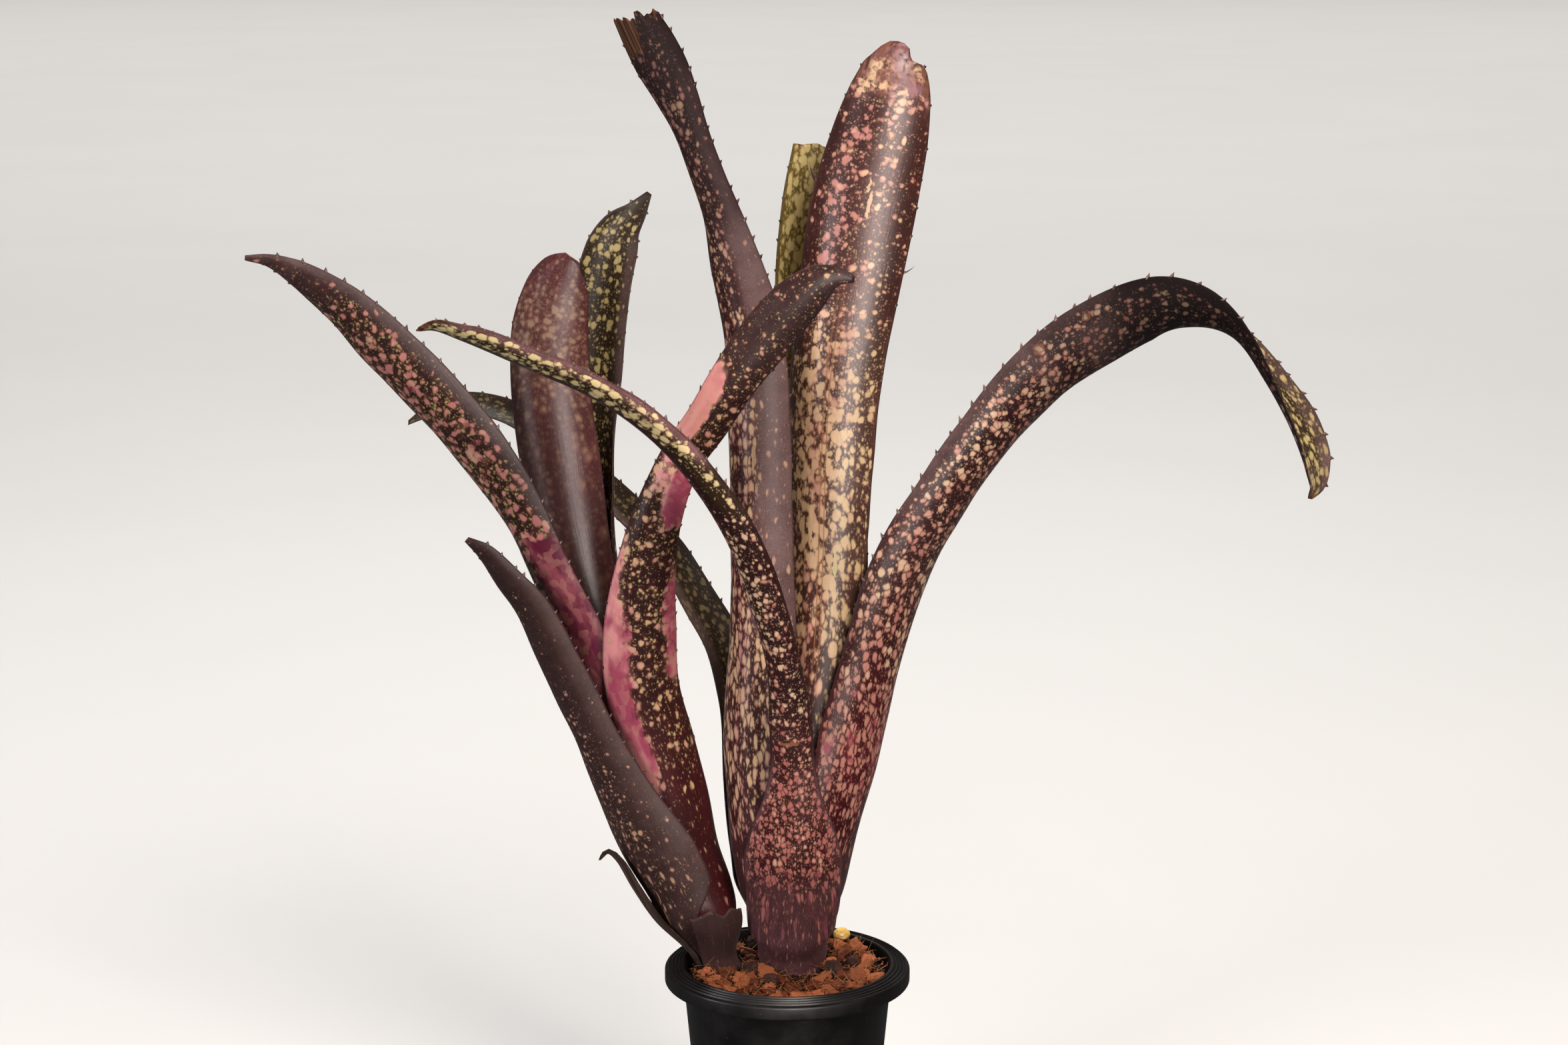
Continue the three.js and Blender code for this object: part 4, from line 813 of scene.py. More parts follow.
leafOffsetPointed = {
    "node": "leaf_offset_pointed", "slot": "leaf_olive", "ring": 2.6, "wrap": 85, "facing": 170,
    "cup": [(95, -29.4, 11.2, 6, 82, 170), (106, -33, 17, 7.2, 86, 170)],
    "blade": [(-40, 28.5, 122, 24, 95, 170), (-54, 33, 160, 26.8, 100, 170), (-64, 37, 195, 27.9, 104, 170),
              (-70, 40, 229, 29.6, 102, 170), (-72, 42, 254, 31, 90, 170), (-72, 43, 274, 28.7, 76, 170),
              (-70, 43, 297, 26.5, 60, 170), (-67, 42, 323, 23.7, 50, 170), (-63, 41, 340, 20.5, 42, 170),
              (-60, 41, 347, 15.6, 35, 170), (-55, 41, 353, 8.6, 28, 170), (-50, 41, 360, 1.8, 15, 170)],
    "seed": 103, "cell": 2.5, "strength": 0.85, "roughness": 0.38, "rim": 0.3, "bare": 0.8, "merge": 0.4,
    "skin": {"olive": "2a200c", "yellow": "c6b474"},
    "outer": {"cover": {0: 0.1, 100: 0.35, 308: 0.5}, "pink": {0: 0.8, 200: 0.4, 308: 0.2},
              "crimson": {0: 0.5, 180: 0.4, 240: 0.1}, "frost": {0: 0.1},
              "green": {0: 0, 220: 0.2, 308: 0.5}},
    "inner": {"cover": {0: 0.1, 180: 0.15, 205: 0.42, 285: 0.5, 300: 0.25},
              "green": {0: 0.1, 170: 0.2, 210: 0.85, 308: 0.9}, "frost": {0: 0.05, 200: 0.03, 308: 0.08},
              "crimson": {0: 0.6, 170: 0.5, 205: 0},
              "washes": [("flush", 130, 178, -1.2, -0.5, 0.7), ("frost", 180, 290, -1.2, -0.6, 0.45),
                         ("cover", 180, 290, -1.2, -0.65, -0.4)]},
    "spotSize": {0: 1.1, 308: 1.2},
    "stretch": {0: 2.4, 160: 1.5, 308: 1.2},
    "teeth": {"from": 160, "pitch": 8, "size": 1.2, "base": "5a4a30", "tip": "2a1d16"},
}
leafOffsetDried = {
    "node": "leaf_offset_dried", "slot": "leaf_dried", "ring": 8.4, "wrap": 35, "facing": -80,
    "cup": [(95, -33, 10.5, 15.8, 32, -80)],
    "blade": [(-56.5, 8, 107, 14, 32, -75), (-62.5, 7.5, 118, 10, 28, -70), (-66, 5.5, 121.5, 6, 20, -60),
              (-69, 4, 119, 2, 15, -60)],
    "seed": 107, "cell": 2.4, "strength": 0.5, "roughness": 0.6, "rim": 0.4, "bare": 1,
    "skin": {"dry": "5e4638", "dryDark": "2c1d18"},
    "outer": {"cover": {0: -0.6}, "frost": {0: 0.1, 69: 0.2}, "dry": {0: 0.5, 30: 0.7, 69: 0.95}},
    "inner": {"cover": {0: -0.6}, "green": {0: 0}, "dry": {0: 0.5, 69: 0.95}},
    "stretch": {0: 2},
    "torn": 1,
}
leafOffsetStub = {
    "node": "leaf_offset_stub", "slot": "leaf_grey", "ring": 8.4, "wrap": 48, "facing": 20,
    "cup": [(95, -28, 8.6, 14, 40, 15), (103, -29.5, 9.5, 17, 34, 12)],
    "blade": [],
    "seed": 109, "cell": 2.4, "strength": 0.5, "roughness": 0.5, "rim": 0.3, "bare": 2,
    "skin": {"dark": "3e2725", "scurf": "57433f", "dry": "6a4a3a", "dryDark": "2c1a16"},
    "outer": {"cover": {0: -0.6}, "frost": {0: 0.2}, "dry": {32: 0, 36: 0.4}},
    "inner": {"cover": {0: -0.6}, "green": {0: 0}, "dry": {32: 0, 36: 0.4}},
    "marks": [(24, -0.35, 0.13, 3, "scurf"), (20, 0.1, 0.12, 5, "scurf"), (26, 0.3, 0.12, 3, "scurf")],
    "stretch": {0: 3},
    "torn": 4.2, "jagged": 0.06,
}
leaves = [
    leafMainFront, leafMainLeft, leafMainCentre, leafMainBack, leafMainRight, leafMainFar, leafOffsetOuter,
    leafOffsetCross, leafOffsetLong, leafOffsetUpright, leafOffsetPointed, leafOffsetDried, leafOffsetStub,
]

# shade is painted shade and painted light, a factor on the skin's colour
channels = ["cover", "pink", "flush", "crimson", "frost", "green", "dry", "rib", "shade"]
plain = {
    "outer": {"cover": 0.4, "pink": 0.3, "frost": 0.06, "shade": 1},
    "inner": {"cover": 0.6, "pink": 0.1, "frost": 0.06, "green": 0.75, "shade": 1},
}


def smoothCurve(points, t):
    # a centripetal curve through the points, with t from 0 to 1 and an equal share for each span
    last = len(points) - 1
    spot = min(max(t, 0.0), 1.0) * last
    span = min(int(spot), last - 1)
    share = spot - span
    b, c = points[span], points[span + 1]
    a = points[span - 1] if span > 0 else 2 * b - c
    d = points[span + 2] if span + 2 <= last else 2 * c - b
    before, within, after = (float(np.linalg.norm(q - p)) ** 0.5 for p, q in ((a, b), (b, c), (c, d)))
    within = within if within >= 1e-4 else 1.0
    before = before if before >= 1e-4 else within
    after = after if after >= 1e-4 else within
    leave = ((b - a) / before - (c - a) / (before + within) + (c - b) / within) * within
    arrive = ((c - b) / within - (d - b) / (within + after) + (d - c) / after) * within
    return (b + leave * share + (3 * (c - b) - 2 * leave - arrive) * share ** 2
            + (2 * (b - c) + leave + arrive) * share ** 3)


def leafStations(leaf):
    shoot = shoots[leaf["node"].split("_")[1]]
    ring, grip = leaf["ring"], (leaf["wrap"], leaf["facing"])
    rings = [(sheath["footHeight"], *shoot["foot"], ring, *grip),
             (sheath["mixTop"], *shoot["foot"], ring, *grip),
             (sheath["mouthHeight"], *shoot["mouth"], ring + shoot["flare"], *grip)]
    path = []
    form = []
    for z, x, y, radius, curl, facing in rings + leaf["cup"]:
        turn = math.radians(facing)
        path.append((x + radius * math.sin(turn), y - radius * math.cos(turn), z))
        form.append((2 * math.radians(curl) * radius, curl, facing))
    for x, y, z, width, curl, turn in leaf["blade"]:
        path.append((x, y, z))
        form.append((width, curl, turn))
    return np.array(path, float), np.array(form, float)


def leafSection(path, form, t):
    centre = smoothCurve(path, t)
    along = smoothCurve(path, min(t + 1e-4, 1)) - smoothCurve(path, max(t - 1e-4, 0))
    along /= np.linalg.norm(along)
    width, curl, turn = smoothCurve(form, t)
    front = np.array([0, -1.0, 0])
    front -= along * (front @ along)
    front /= np.linalg.norm(front)
    side = np.cross(along, front)
    back = math.cos(math.radians(turn)) * front + math.sin(math.radians(turn)) * side
    return {"centre": centre, "along": along, "back": back, "across": np.cross(along, back),
            "half": math.radians(curl), "width": width}


def leafSections(leaf):
    # sections at an even pitch along the leaf, each with its distance from the foot
    path, form = leafStations(leaf)
    steps = np.linspace(0, 1, leafCut["stepsPerSpan"] * (len(path) - 1) + 1)
    points = np.array([smoothCurve(path, t) for t in steps])
    run = np.concatenate([[0], np.cumsum(np.linalg.norm(np.diff(points, axis=0), axis=1))])
    count = int(round(run[-1] / leafCut["rowPitch"]))
    runs = np.linspace(0, run[-1], count + 1)
    return [leafSection(path, form, t) for t in np.interp(runs, run, steps)], runs


def sectionPoint(section, place, lift):
    # place runs from -1 at the left margin to 1 at the right one, lift is off the middle of the thickness
    radius = section["width"] / (2 * section["half"])
    angle = place * section["half"]
    return (section["centre"] + section["back"] * ((radius + lift) * math.cos(angle) - radius)
            + section["across"] * (radius + lift) * math.sin(angle))


def marginDirection(section, side):
    return section["across"] * side * math.cos(section["half"]) - section["back"] * math.sin(section["half"])


def ringPlaces():
    # the closed outline of a section: place across the leaf, lift in half thicknesses, reach past the margin
    columns = leafCut["columns"]
    rim = leafCut["rimPoints"]
    outer = [(2 * i / columns - 1, 1.0, 0.0) for i in range(columns + 1)]
    ring = list(outer)
    for k in range(1, rim + 1):
        angle = math.pi * k / (rim + 1)
        ring.append((1.0, math.cos(angle), math.sin(angle)))
    ring += [(place, -1.0, 0.0) for place, _, _ in reversed(outer)]
    for k in range(1, rim + 1):
        angle = math.pi * k / (rim + 1)
        ring.append((-1.0, -math.cos(angle), math.sin(angle)))
    return ring


def channelValues(leaf, side, runs, places):
    values = {}
    for channel in channels:
        rows = leaf[side].get(channel, {0: plain[side].get(channel, 0)})
        values[channel] = np.repeat(follow(runs, rows)[:, None], len(places), axis=1)
    for channel, low, high, left, right, change in leaf[side].get("washes", []):
        run, reach = (10, 0.32) if channel == "flush" else (6, 0.17)  # a flushed patch has a softer border
        lengthwise = window(runs, low, high, run)
        across = window(places, left, right, reach)
        values[channel] = values[channel] + change * lengthwise[:, None] * across[None, :]
    return values


def tearDepth(leaf, place):
    jagged = leaf.get("jagged", 0.35)
    return leaf["torn"] * (0.5 + noise.noise(Vector((place * 2.3, leaf["seed"], 0.5)))
                           + jagged * noise.noise(Vector((place * 9, leaf["seed"], 4.5))))


def leafPoints(leaf, sections, runs, ring, phase):
    # section by section, with slight waves, and ragged towards a torn end
    points = []
    mid, edge = leafCut["midThickness"], leafCut["marginThickness"]
    for section, run in zip(sections, runs):
        free = float(smoothStep(run, leafCut["wavyFrom"], leafCut["wavyAt"]))  # the sheaths stay true
        wave = math.sin(run / 6.5 + phase[0]) + 0.6 * math.sin(run / 3.7 + phase[1])
        section["half"] *= 1 + leafCut["waveShare"] * free * wave
        torn = float(smoothStep(run, runs[-1] - leafCut["tornReach"], runs[-1])) if "torn" in leaf else 0
        for place, lift, reach in ring:
            thick = mid + (edge - mid) * place * place
            thick *= min(1.0, 0.35 + section["width"] / 9) * (1 - leafCut["tornThinning"] * torn)
            point = sectionPoint(section, place, lift * thick / 2)
            if reach:
                point = point + marginDirection(section, place) * reach * thick / 2
            sway = math.sin(run / 4.3 + phase[2] + (1.7 if place > 0 else 0))
            point = point + section["back"] * (leafCut["ripple"] * free * abs(place) ** 3 * sway)
            if torn:
                point = point - section["along"] * torn * tearDepth(leaf, place)
            points.append(point)
    return points


def leafFaces(rows, count):
    # the faces of the skin, and whether each lies on its inner side
    columns, rim = leafCut["columns"], leafCut["rimPoints"]
    faces = []
    inner = []
    for j in range(rows - 1):
        faces += band(j * count, count)
        inner += [columns + rim < k <= 2 * columns + rim for k in range(count)]
    # flat caps at both ends, in strips from the outer skin to the inner one
    for start, flip in ((0, False), ((rows - 1) * count, True)):
        outerLine = [start + k for k in range(columns + 1)]
        innerLine = [start + 2 * columns + 1 + rim - k for k in range(columns + 1)]
        rightRim = [start + columns + 1 + k for k in range(rim)]
        leftRim = [start + 2 * columns + 2 + rim + k for k in range(rim)]
        strips = [(innerLine[k], innerLine[k + 1], outerLine[k + 1], outerLine[k]) for k in range(columns)]
        strips.append((outerLine[-1], innerLine[-1], *reversed(rightRim)))
        strips.append((innerLine[0], outerLine[0], *reversed(leftRim)))
        faces += [tuple(reversed(strip)) if flip else strip for strip in strips]
        inner += [False] * len(strips)
    return faces, inner


def toothPoints(section, side, size, width, stretchOut):
    # a small hooked tooth on the margin, leaning towards the tip
    root = sectionPoint(section, side, 0)
    out = marginDirection(section, side)
    along = section["along"]
    normal = np.cross(along, out)
    points = []
    sides = leafCut["toothSides"]
    for share in (0.0, 0.35, 0.7):
        height = -leafCut["toothSink"] + (size + leafCut["toothSink"]) * share
        shrink = (1 - share) ** 0.9
        middle = root + out * height + along * size * 0.75 * share ** 1.6
        for k in range(sides):
            angle = 2 * math.pi * k / sides
            points.append(middle + along * math.cos(angle) * width * shrink
                          + normal * math.sin(angle) * leafCut["toothThickness"] * (0.35 + 0.65 * shrink))
    points.append(root + out * size * stretchOut + along * size * 0.75)
    faces = [tuple(reversed(range(sides))), *band(0, sides), *band(sides, sides)]
    faces += [(2 * sides + k, 2 * sides + (k + 1) % sides, 3 * sides) for k in range(sides)]
    return points, faces


def addTeeth(leaf, sections, length, drawn, points, faces):
    def sectionAt(run):
        return sections[int(round(run / length * (len(sections) - 1)))]

    def addTooth(*tooth):
        made, madeFaces = toothPoints(*tooth)
        faces.extend(tuple(len(points) + i for i in face) for face in madeFaces)
        points.extend(made)

    teeth = leaf.get("teeth")
    for side in (-1, 1) if teeth else ():
        run = teeth["from"] + drawn.uniform(0, teeth["pitch"])
        while run < length - 5:
            section = sectionAt(run)
            size = teeth["size"] * drawn.uniform(0.75, 1.2) * min(1, section["width"] / 8)
            addTooth(section, side, size, leafCut["toothWidth"], drawn.uniform(0.85, 1.05))
            run += teeth["pitch"] * drawn.uniform(0.75, 1.3)
    for run, side, size, width in leaf.get("spines", []):
        addTooth(sectionAt(run), side, size, width / 2, 1.0)


def pieceName(node):
    first, *rest = node.split("_")
    return first + "".join(word.capitalize() for word in rest)


def buildLeaf(leaf):
    sections, runs = leafSections(leaf)
    ring = ringPlaces()
    rows, count = len(sections), len(ring)
    drawn = random.Random(leaf["seed"])
    phase = [drawn.uniform(0, 2 * math.pi) for _ in range(4)]
    points = leafPoints(leaf, sections, runs, ring, phase)
    faces, inner = leafFaces(rows, count)
    body = len(faces)
    addTeeth(leaf, sections, runs[-1], drawn, points, faces)

    # each channel over the skin, with a bare band along the margins
    places = np.array([place for place, _, _ in ring])
    innerShare = (1 - np.array([lift for _, lift, _ in ring])) / 2
    widths = np.array([section["width"] for section in sections])
    margin = (1 - np.abs(places))[None, :] * widths[:, None] / 2
    outerValues, innerValues = (channelValues(leaf, side, runs, places) for side in ("outer", "inner"))
    merged = {c: outerValues[c] * (1 - innerShare) + innerValues[c] * innerShare for c in channels}
    bareBand = smoothStep(margin, leaf["bare"] * 0.4, leaf["bare"] * 1.3)
    merged["cover"] = -0.35 + (merged["cover"] + 0.35) * bareBand
    merged["frost"] = merged["frost"] + 0.1 * (1 - bareBand)

    # the skin's own millimetres: across from the midrib, and along with the base drawn out
    draw = follow(runs, leaf["stretch"])
    swell = follow(runs, leaf.get("spotSize", {0: 1}))
    pace = draw * swell
    skinRuns = np.cumsum(np.concatenate([[0], np.diff(runs) / ((pace[1:] + pace[:-1]) / 2)]))
    halfWidths = widths / 2 * np.minimum(1, 0.6 + 0.4 / np.sqrt(draw)) / swell
    marks = []
    for run, place, halfAcross, halfAlong, kind in leaf.get("marks", []):
        rowsHere = (halfWidths, skinRuns, swell, pace)
        half, skinRun, size, step = (float(np.interp(run, runs, row)) for row in rowsHere)
        marks.append(((place * half, skinRun), (halfAcross / size, halfAlong / step), kind))

    name = pieceName(leaf["node"])
    materials = [leafMaterial(name + "Skin", leaf, marks)]
    if "teeth" in leaf:
        materials.append(toothMaterial(name + "Tooth", leaf["teeth"]["base"], leaf["teeth"]["tip"]))
    inside = 0.03 * mm
    points = np.clip(np.array(points) * mm, np.array(cadBox[0]) + inside, np.array(cadBox[1]) - inside)
    piece = addObject(name, points, faces, materials)
    mesh = piece.data
    mesh.polygons.foreach_set("material_index", [0] * body + [1] * (len(faces) - body))
    extra = len(points) - rows * count

    def spread(array):
        return np.concatenate([array.ravel(), np.zeros(extra)])

    for label, parts in (("skinFirst", channels[:4]), ("skinSecond", channels[4:8])):
        stack = [spread(merged[c]) for c in parts]
        layer = mesh.attributes.new(label, "FLOAT_COLOR", "POINT")
        layer.data.foreach_set("color", np.stack(stack, axis=1).astype(np.float32).ravel())
    # the shade channel goes out as painted shade and light, a factor on the skin's colour
    for label, array in (("marginDistance", margin), ("paintedShadeAndLight", merged["shade"])):
        layer = mesh.attributes.new(label, "FLOAT", "POINT")
        layer.data.foreach_set("value", spread(array).astype(np.float32))
    lengthwise = np.repeat(skinRuns[:, None], count, axis=1)
    sideways = places[None, :] * halfWidths[:, None]
    cornerUv = cornerValues(mesh, np.stack([spread(sideways), spread(lengthwise)], axis=1))
    cornerCounts = np.zeros(len(mesh.polygons), int)
    mesh.polygons.foreach_get("loop_total", cornerCounts)
    onInner = np.repeat(np.array(inner + [False] * (len(faces) - body)), cornerCounts)
    cornerUv[onInner] += leafCut["innerSkinShift"]
    layer = mesh.uv_layers.new(name="skin")
    layer.data.foreach_set("uv", cornerUv.astype(np.float32).ravel())
    settle(piece, leaf["slot"], leaf["node"])


for leaf in leaves:
    buildLeaf(leaf)
print("leaves built")


# Pot

pot = {
    "height": 82, "rimRadius": 45, "mouthRadius": 38, "lipHeight": 4.6, "bodyTop": 38.2, "bodyFoot": 31,
    "wall": 1.1, "floor": 1.8, "flangeRise": 2.4, "drainRadius": 3.2, "drainCircle": 20, "drainCount": 6,
    "drainSides": 28, "sharpAngle": 50,
    "sides": 144, "ridges": (43.5, 42.2, 40.9, 39.6), "ridgeHeight": 0.5,
    "colour": "0c0a09", "worn": "1b1715", "dust": "6d6460",
}


def roundCorner(before, corner, after, radius, steps=4):
    # points that round a corner of an outline
    corner = Vector(corner)
    start = corner + (Vector(before) - corner).normalized() * radius
    end = corner + (Vector(after) - corner).normalized() * radius
    return [tuple((1 - s) ** 2 * start + 2 * s * (1 - s) * corner + s * s * end)
            for s in (k / steps for k in range(steps + 1))]


def potProfile():
    lipBottom = pot["height"] - pot["flangeRise"] - pot["lipHeight"]
    lipTop = pot["height"] - pot["flangeRise"] + 0.5
    innerFoot = pot["bodyFoot"] - pot["wall"]
    corners = [  # radius, height, rounding
        (0, 0, 0), (pot["bodyFoot"], 0, 1.2), (pot["bodyTop"], lipBottom + 0.2, 0.5),
        (pot["rimRadius"], lipBottom, 0.7), (pot["rimRadius"], lipTop, 0.9),
        (pot["mouthRadius"] + 0.4, pot["height"], 0.5),
        (pot["mouthRadius"] - 0.1, pot["height"] - 0.6, 0.3), (pot["bodyTop"] - pot["wall"], lipBottom, 0.5),
        (innerFoot, pot["floor"], 1.0), (0, pot["floor"], 0),
    ]
    profile = [(0, 0)]
    for before, (r, z, radius), after in zip(corners, corners[1:-1], corners[2:]):
        profile += roundCorner(before[:2], (r, z), after[:2], radius)
        if r == pot["rimRadius"] and z == lipTop:  # low ridges turned into the sloping top of the rim
            slope = (pot["height"] - lipTop) / (pot["mouthRadius"] + 0.4 - pot["rimRadius"])
            for ridge in pot["ridges"]:
                for step, rise in ((0.32, 0), (0.12, 1), (-0.12, 1), (-0.32, 0)):
                    radiusHere = ridge + step
                    height = lipTop + slope * (radiusHere - pot["rimRadius"])
                    profile.append((radiusHere, height - 0.05 + rise * pot["ridgeHeight"]))
    profile.append((0, pot["floor"]))
    return profile


def spinProfile(profile, sides):
    points = []
    faces = []
    rows = []
    for r, z in profile:
        if r < 1e-6:
            rows.append([len(points)] * sides)
            points.append((0, 0, z))
        else:
            rows.append([len(points) + k for k in range(sides)])
            points += [(x, y, z) for x, y in circle(r, sides)]
    for low, high in zip(rows, rows[1:]):
        for k in range(sides):
            corner = [low[k], low[(k + 1) % sides], high[(k + 1) % sides], high[k]]
            faces.append(tuple(dict.fromkeys(corner)))
    return points, faces


def potMaterial():
    material, tree, shader, place, grain = grainyMaterial("potPlastic", 3.4, 0.6)
    turned = remap(tree, cloud(tree, stretch(tree, place, (40, 40, 2200)), 1.0, 2.0, flat=False), 0.35, 0.65)
    worn = times(tree, grain["Tone"], scaleAdd(tree, turned, 0.3, 0.4))
    colour = blendColour(tree, worn, tint(pot["colour"]), tint(pot["worn"]))
    specks = put(tree, "TexVoronoi", {"Vector": place, "Scale": 420.0}, feature="F1").outputs
    chance = splitColour(tree, specks["Color"])[0]
    dust = times(tree, remap(tree, specks["Distance"], 0.04, 0.14, 1.0, 0.0), remap(tree, chance, 0.95, 0.98))
    feed(tree, shader["Base Color"], blendColour(tree, times(tree, dust, 0.6), colour, tint(pot["dust"])))
    feed(tree, shader["Roughness"], blendValue(tree, grain["Tone"], 0.36, 0.5))
    height = plus(tree, times(tree, grain["Height"], 0.3), times(tree, turned, 0.3))
    addRelief(tree, shader, 0.3, 0.06, height)
    shader["Specular IOR Level"].default_value = 0.28
    return material


def drainCutter():
    points = []
    faces = []
    sides = pot["drainSides"]
    for i in range(pot["drainCount"]):
        angle = (i + 0.5) / pot["drainCount"] * 2 * math.pi
        x = pot["drainCircle"] * math.cos(angle)
        y = pot["drainCircle"] * math.sin(angle)
        base = len(points)
        for z in (-1, pot["floor"] + 1):
            points += [(a, b, z) for a, b in circle(pot["drainRadius"], sides, x, y)]
        faces.append(tuple(base + k for k in reversed(range(sides))))
        faces.append(tuple(base + sides + k for k in range(sides)))
        faces += band(base, sides)
    return addObject("drainCutter", np.array(points) * mm, faces, [])


def buildPot():
    points, faces = spinProfile(potProfile(), pot["sides"])
    piece = addObject("nurseryPot", np.array(points) * mm, faces, [potMaterial()])
    cutter = drainCutter()
    cut = piece.modifiers.new("drains", "BOOLEAN")
    cut.object = cutter
    cut.solver = "EXACT"
    bpy.context.view_layer.objects.active = piece
    bpy.ops.object.modifier_apply(modifier=cut.name)
    bpy.data.objects.remove(cutter)
    piece.data.polygons.foreach_set("use_smooth", [True] * len(piece.data.polygons))
    piece.data.set_sharp_from_angle(angle=math.radians(pot["sharpAngle"]))
    settle(piece, "pot_plastic", "pot")


buildPot()
print("pot built")


# Mulch: husk chips, fibres, nuggets and the pellet

mulch = {
    "seed": 41, "reach": 36.0, "chunks": 56, "chips": 110, "crumbs": 900, "fibres": 420, "frays": 9,
    "foot": 75.5, "floor": 76.0, "top": 77.6, "fibreTop": 86.5, "bedRings": 40, "bedSides": 110,
    "heapAt": (24, 16), "heapRise": 3.2, "heapSpread": 220, "hollowAt": (5, -10), "hollowDepth": 1.6,
    "nuggetRoom": 3.6, "strandSteps": 6,
    "pale": "a8623e", "mid": "5a2813", "deep": "160a06", "fibre": "b88452",
}
# the free room round each shoot at a few heights: height, centre x, centre y, radius
shootRoom = {
    "main": [(75, 2.2, 10, 12.5), (82, 2.0, 10, 13.5), (95, 1.9, 10, 17.6)],
    "offset": [(75, -24.7, 9, 9.05), (82, -27, 9, 9.5), (95, -28.5, 9, 15)],
}


def hollowAt(x, y, wide, deep):
    # 1 in the middle of the hollow in front, less away from it
    middleX, middleY = mulch["hollowAt"]
    return math.exp(-((x - middleX) ** 2 / wide + (y - middleY) ** 2 / deep))


def mulchHeight(x, y):
    heapX, heapY = mulch["heapAt"]
    heap = mulch["heapRise"] * math.exp(-((x - heapX) ** 2 + (y - heapY) ** 2) / mulch["heapSpread"])
    hollow = mulch["hollowDepth"] * hollowAt(x, y, 60, 90)
    return mulch["top"] + heap - hollow + 0.6 * noise.noise(Vector((x / 9, y / 9, 2.0)))


def roomAt(rows, z):
    heights = [row[0] for row in rows]
    return tuple(float(np.interp(z, heights, [row[k] for row in rows])) for k in (1, 2, 3))


def clearOfShoots(x, y, room):
    return all(math.hypot(x - rows[0][1], y - rows[0][2]) > rows[0][3] + room for rows in shootRoom.values())


def scatterPlace(drawn, room):
    while True:
        radius = mulch["reach"] * math.sqrt(drawn.random())
        angle = drawn.uniform(0, 2 * math.pi)
        x, y = radius * math.cos(angle), radius * math.sin(angle)
        if clearOfShoots(x, y, room) and radius < mulch["reach"] - room:
            return x, y


def unitLump(level):
    # a ball of triangles that chips and nuggets are worked from
    ball = bmesh.new()
    bmesh.ops.create_icosphere(ball, subdivisions=level, radius=1)
    points = [v.co.copy() for v in ball.verts]
    faces = [tuple(v.index for v in f.verts) for f in ball.faces]
    ball.free()
    return points, faces


def shapeLump(points, size, turn, at, rough, seed, blocky=0.0):
    shaped = []
    for point in points:
        p = Vector(point)
        if blocky:
            most = max(abs(c) for c in p)
            p = p.lerp(p / most, blocky)
        bumps = noise.noise(p * 1.3 + Vector((seed, 0, 0)))
        bumps += 0.5 * noise.noise(p * 3.1 + Vector((0, seed, 0)))
        grooves = noise.noise(Vector((p.x * 0.6, p.y * 6, p.z * 6)) + Vector((seed, seed, 0)))
        p = p * (1 + rough * bumps + 0.12 * grooves)
        p = Vector((p.x * size[0], p.y * size[1], p.z * size[2]))
        shaped.append(turn @ p + Vector(at))
    return shaped


def huskMaterial():
    material, tree, shader = newMaterial("huskChip")
    place = put(tree, "UVMap", uv_map="fibre").outputs[0]
    world = put(tree, "TexCoord").outputs["Object"]
    tone = attribute(tree, "chipTone")["Fac"]
    streak = cloud(tree, stretch(tree, place, (0.35, 3.2, 1)), 1.0, 4.0)
    grain = useGroup(tree, grainGroup, {"Place": world, "Size": 1.1, "Sharp": 0.65})
    lines = remap(tree, streak, 0.35, 0.65)
    colour = blendColour(tree, remap(tree, tone, 0.0, 0.45), tint(mulch["deep"]), tint(mulch["mid"]))
    colour = blendColour(tree, remap(tree, tone, 0.35, 1.0), colour, tint(mulch["pale"]))
    colour = blendColour(tree, times(tree, lines, 0.5), colour, (0.42, 0.33, 0.28, 1), "MULTIPLY")
    pits = times(tree, remap(tree, grain["Pits"], 0.0, 0.6, 1.0, 0.0), 0.5)
    feed(tree, shader["Base Color"], blendColour(tree, pits, colour, tint(mulch["deep"])))
    feed(tree, shader["Roughness"], blendValue(tree, grain["Height"], 0.75, 0.95))
    height = plus(tree, times(tree, streak, 0.8), times(tree, grain["Height"], 0.4))
    addRelief(tree, shader, 0.8, 0.35, height)
    shader["Specular IOR Level"].default_value = 0.2
    return material


def roughMaterial(name, dark, pale, size, roughness, strength):
    # soil, bark, fibre and woody crown share one build with their own colours
    material, tree, shader, _, grain = grainyMaterial(name, size, 0.65)
    share = times(tree, grain["Tone"], grain["Pits"])
    feed(tree, shader["Base Color"], blendColour(tree, share, tint(dark), tint(pale)))
    feed(tree, shader["Roughness"], blendValue(tree, grain["Height"], roughness - 0.12, roughness))
    addRelief(tree, shader, strength, 0.5, plus(tree, grain["Height"], times(tree, grain["Pits"], 0.7)))
    shader["Specular IOR Level"].default_value = 0.25
    return material


def addTone(piece, tones):
    layer = piece.data.attributes.new("chipTone", "FLOAT", "POINT")
    layer.data.foreach_set("value", np.array(tones, np.float32))


def addFibreMap(piece, pairs):
    layer = piece.data.uv_layers.new(name="fibre")
    layer.data.foreach_set("uv", cornerValues(piece.data, np.array(pairs, np.float32)).ravel())


def keepInPot(point, low):
    # nothing of the mulch goes into the wall, a shoot or the bed below
    radius = math.hypot(point.x, point.y)
    limit = pot["mouthRadius"] - 1.6 + min(max(point.z - 80, 0), 1.5) * 0.4
    if radius > limit:
        point = Vector((point.x * limit / radius, point.y * limit / radius, point.z))
    for rows in shootRoom.values():
        x, y, room = roomAt(rows, point.z)
        dx, dy = point.x - x, point.y - y
        away = max(math.hypot(dx, dy), 0.01)
        if away < room:
            point = Vector((x + dx * room / away, y + dy * room / away, point.z))
    return Vector((point.x, point.y, max(point.z, low)))


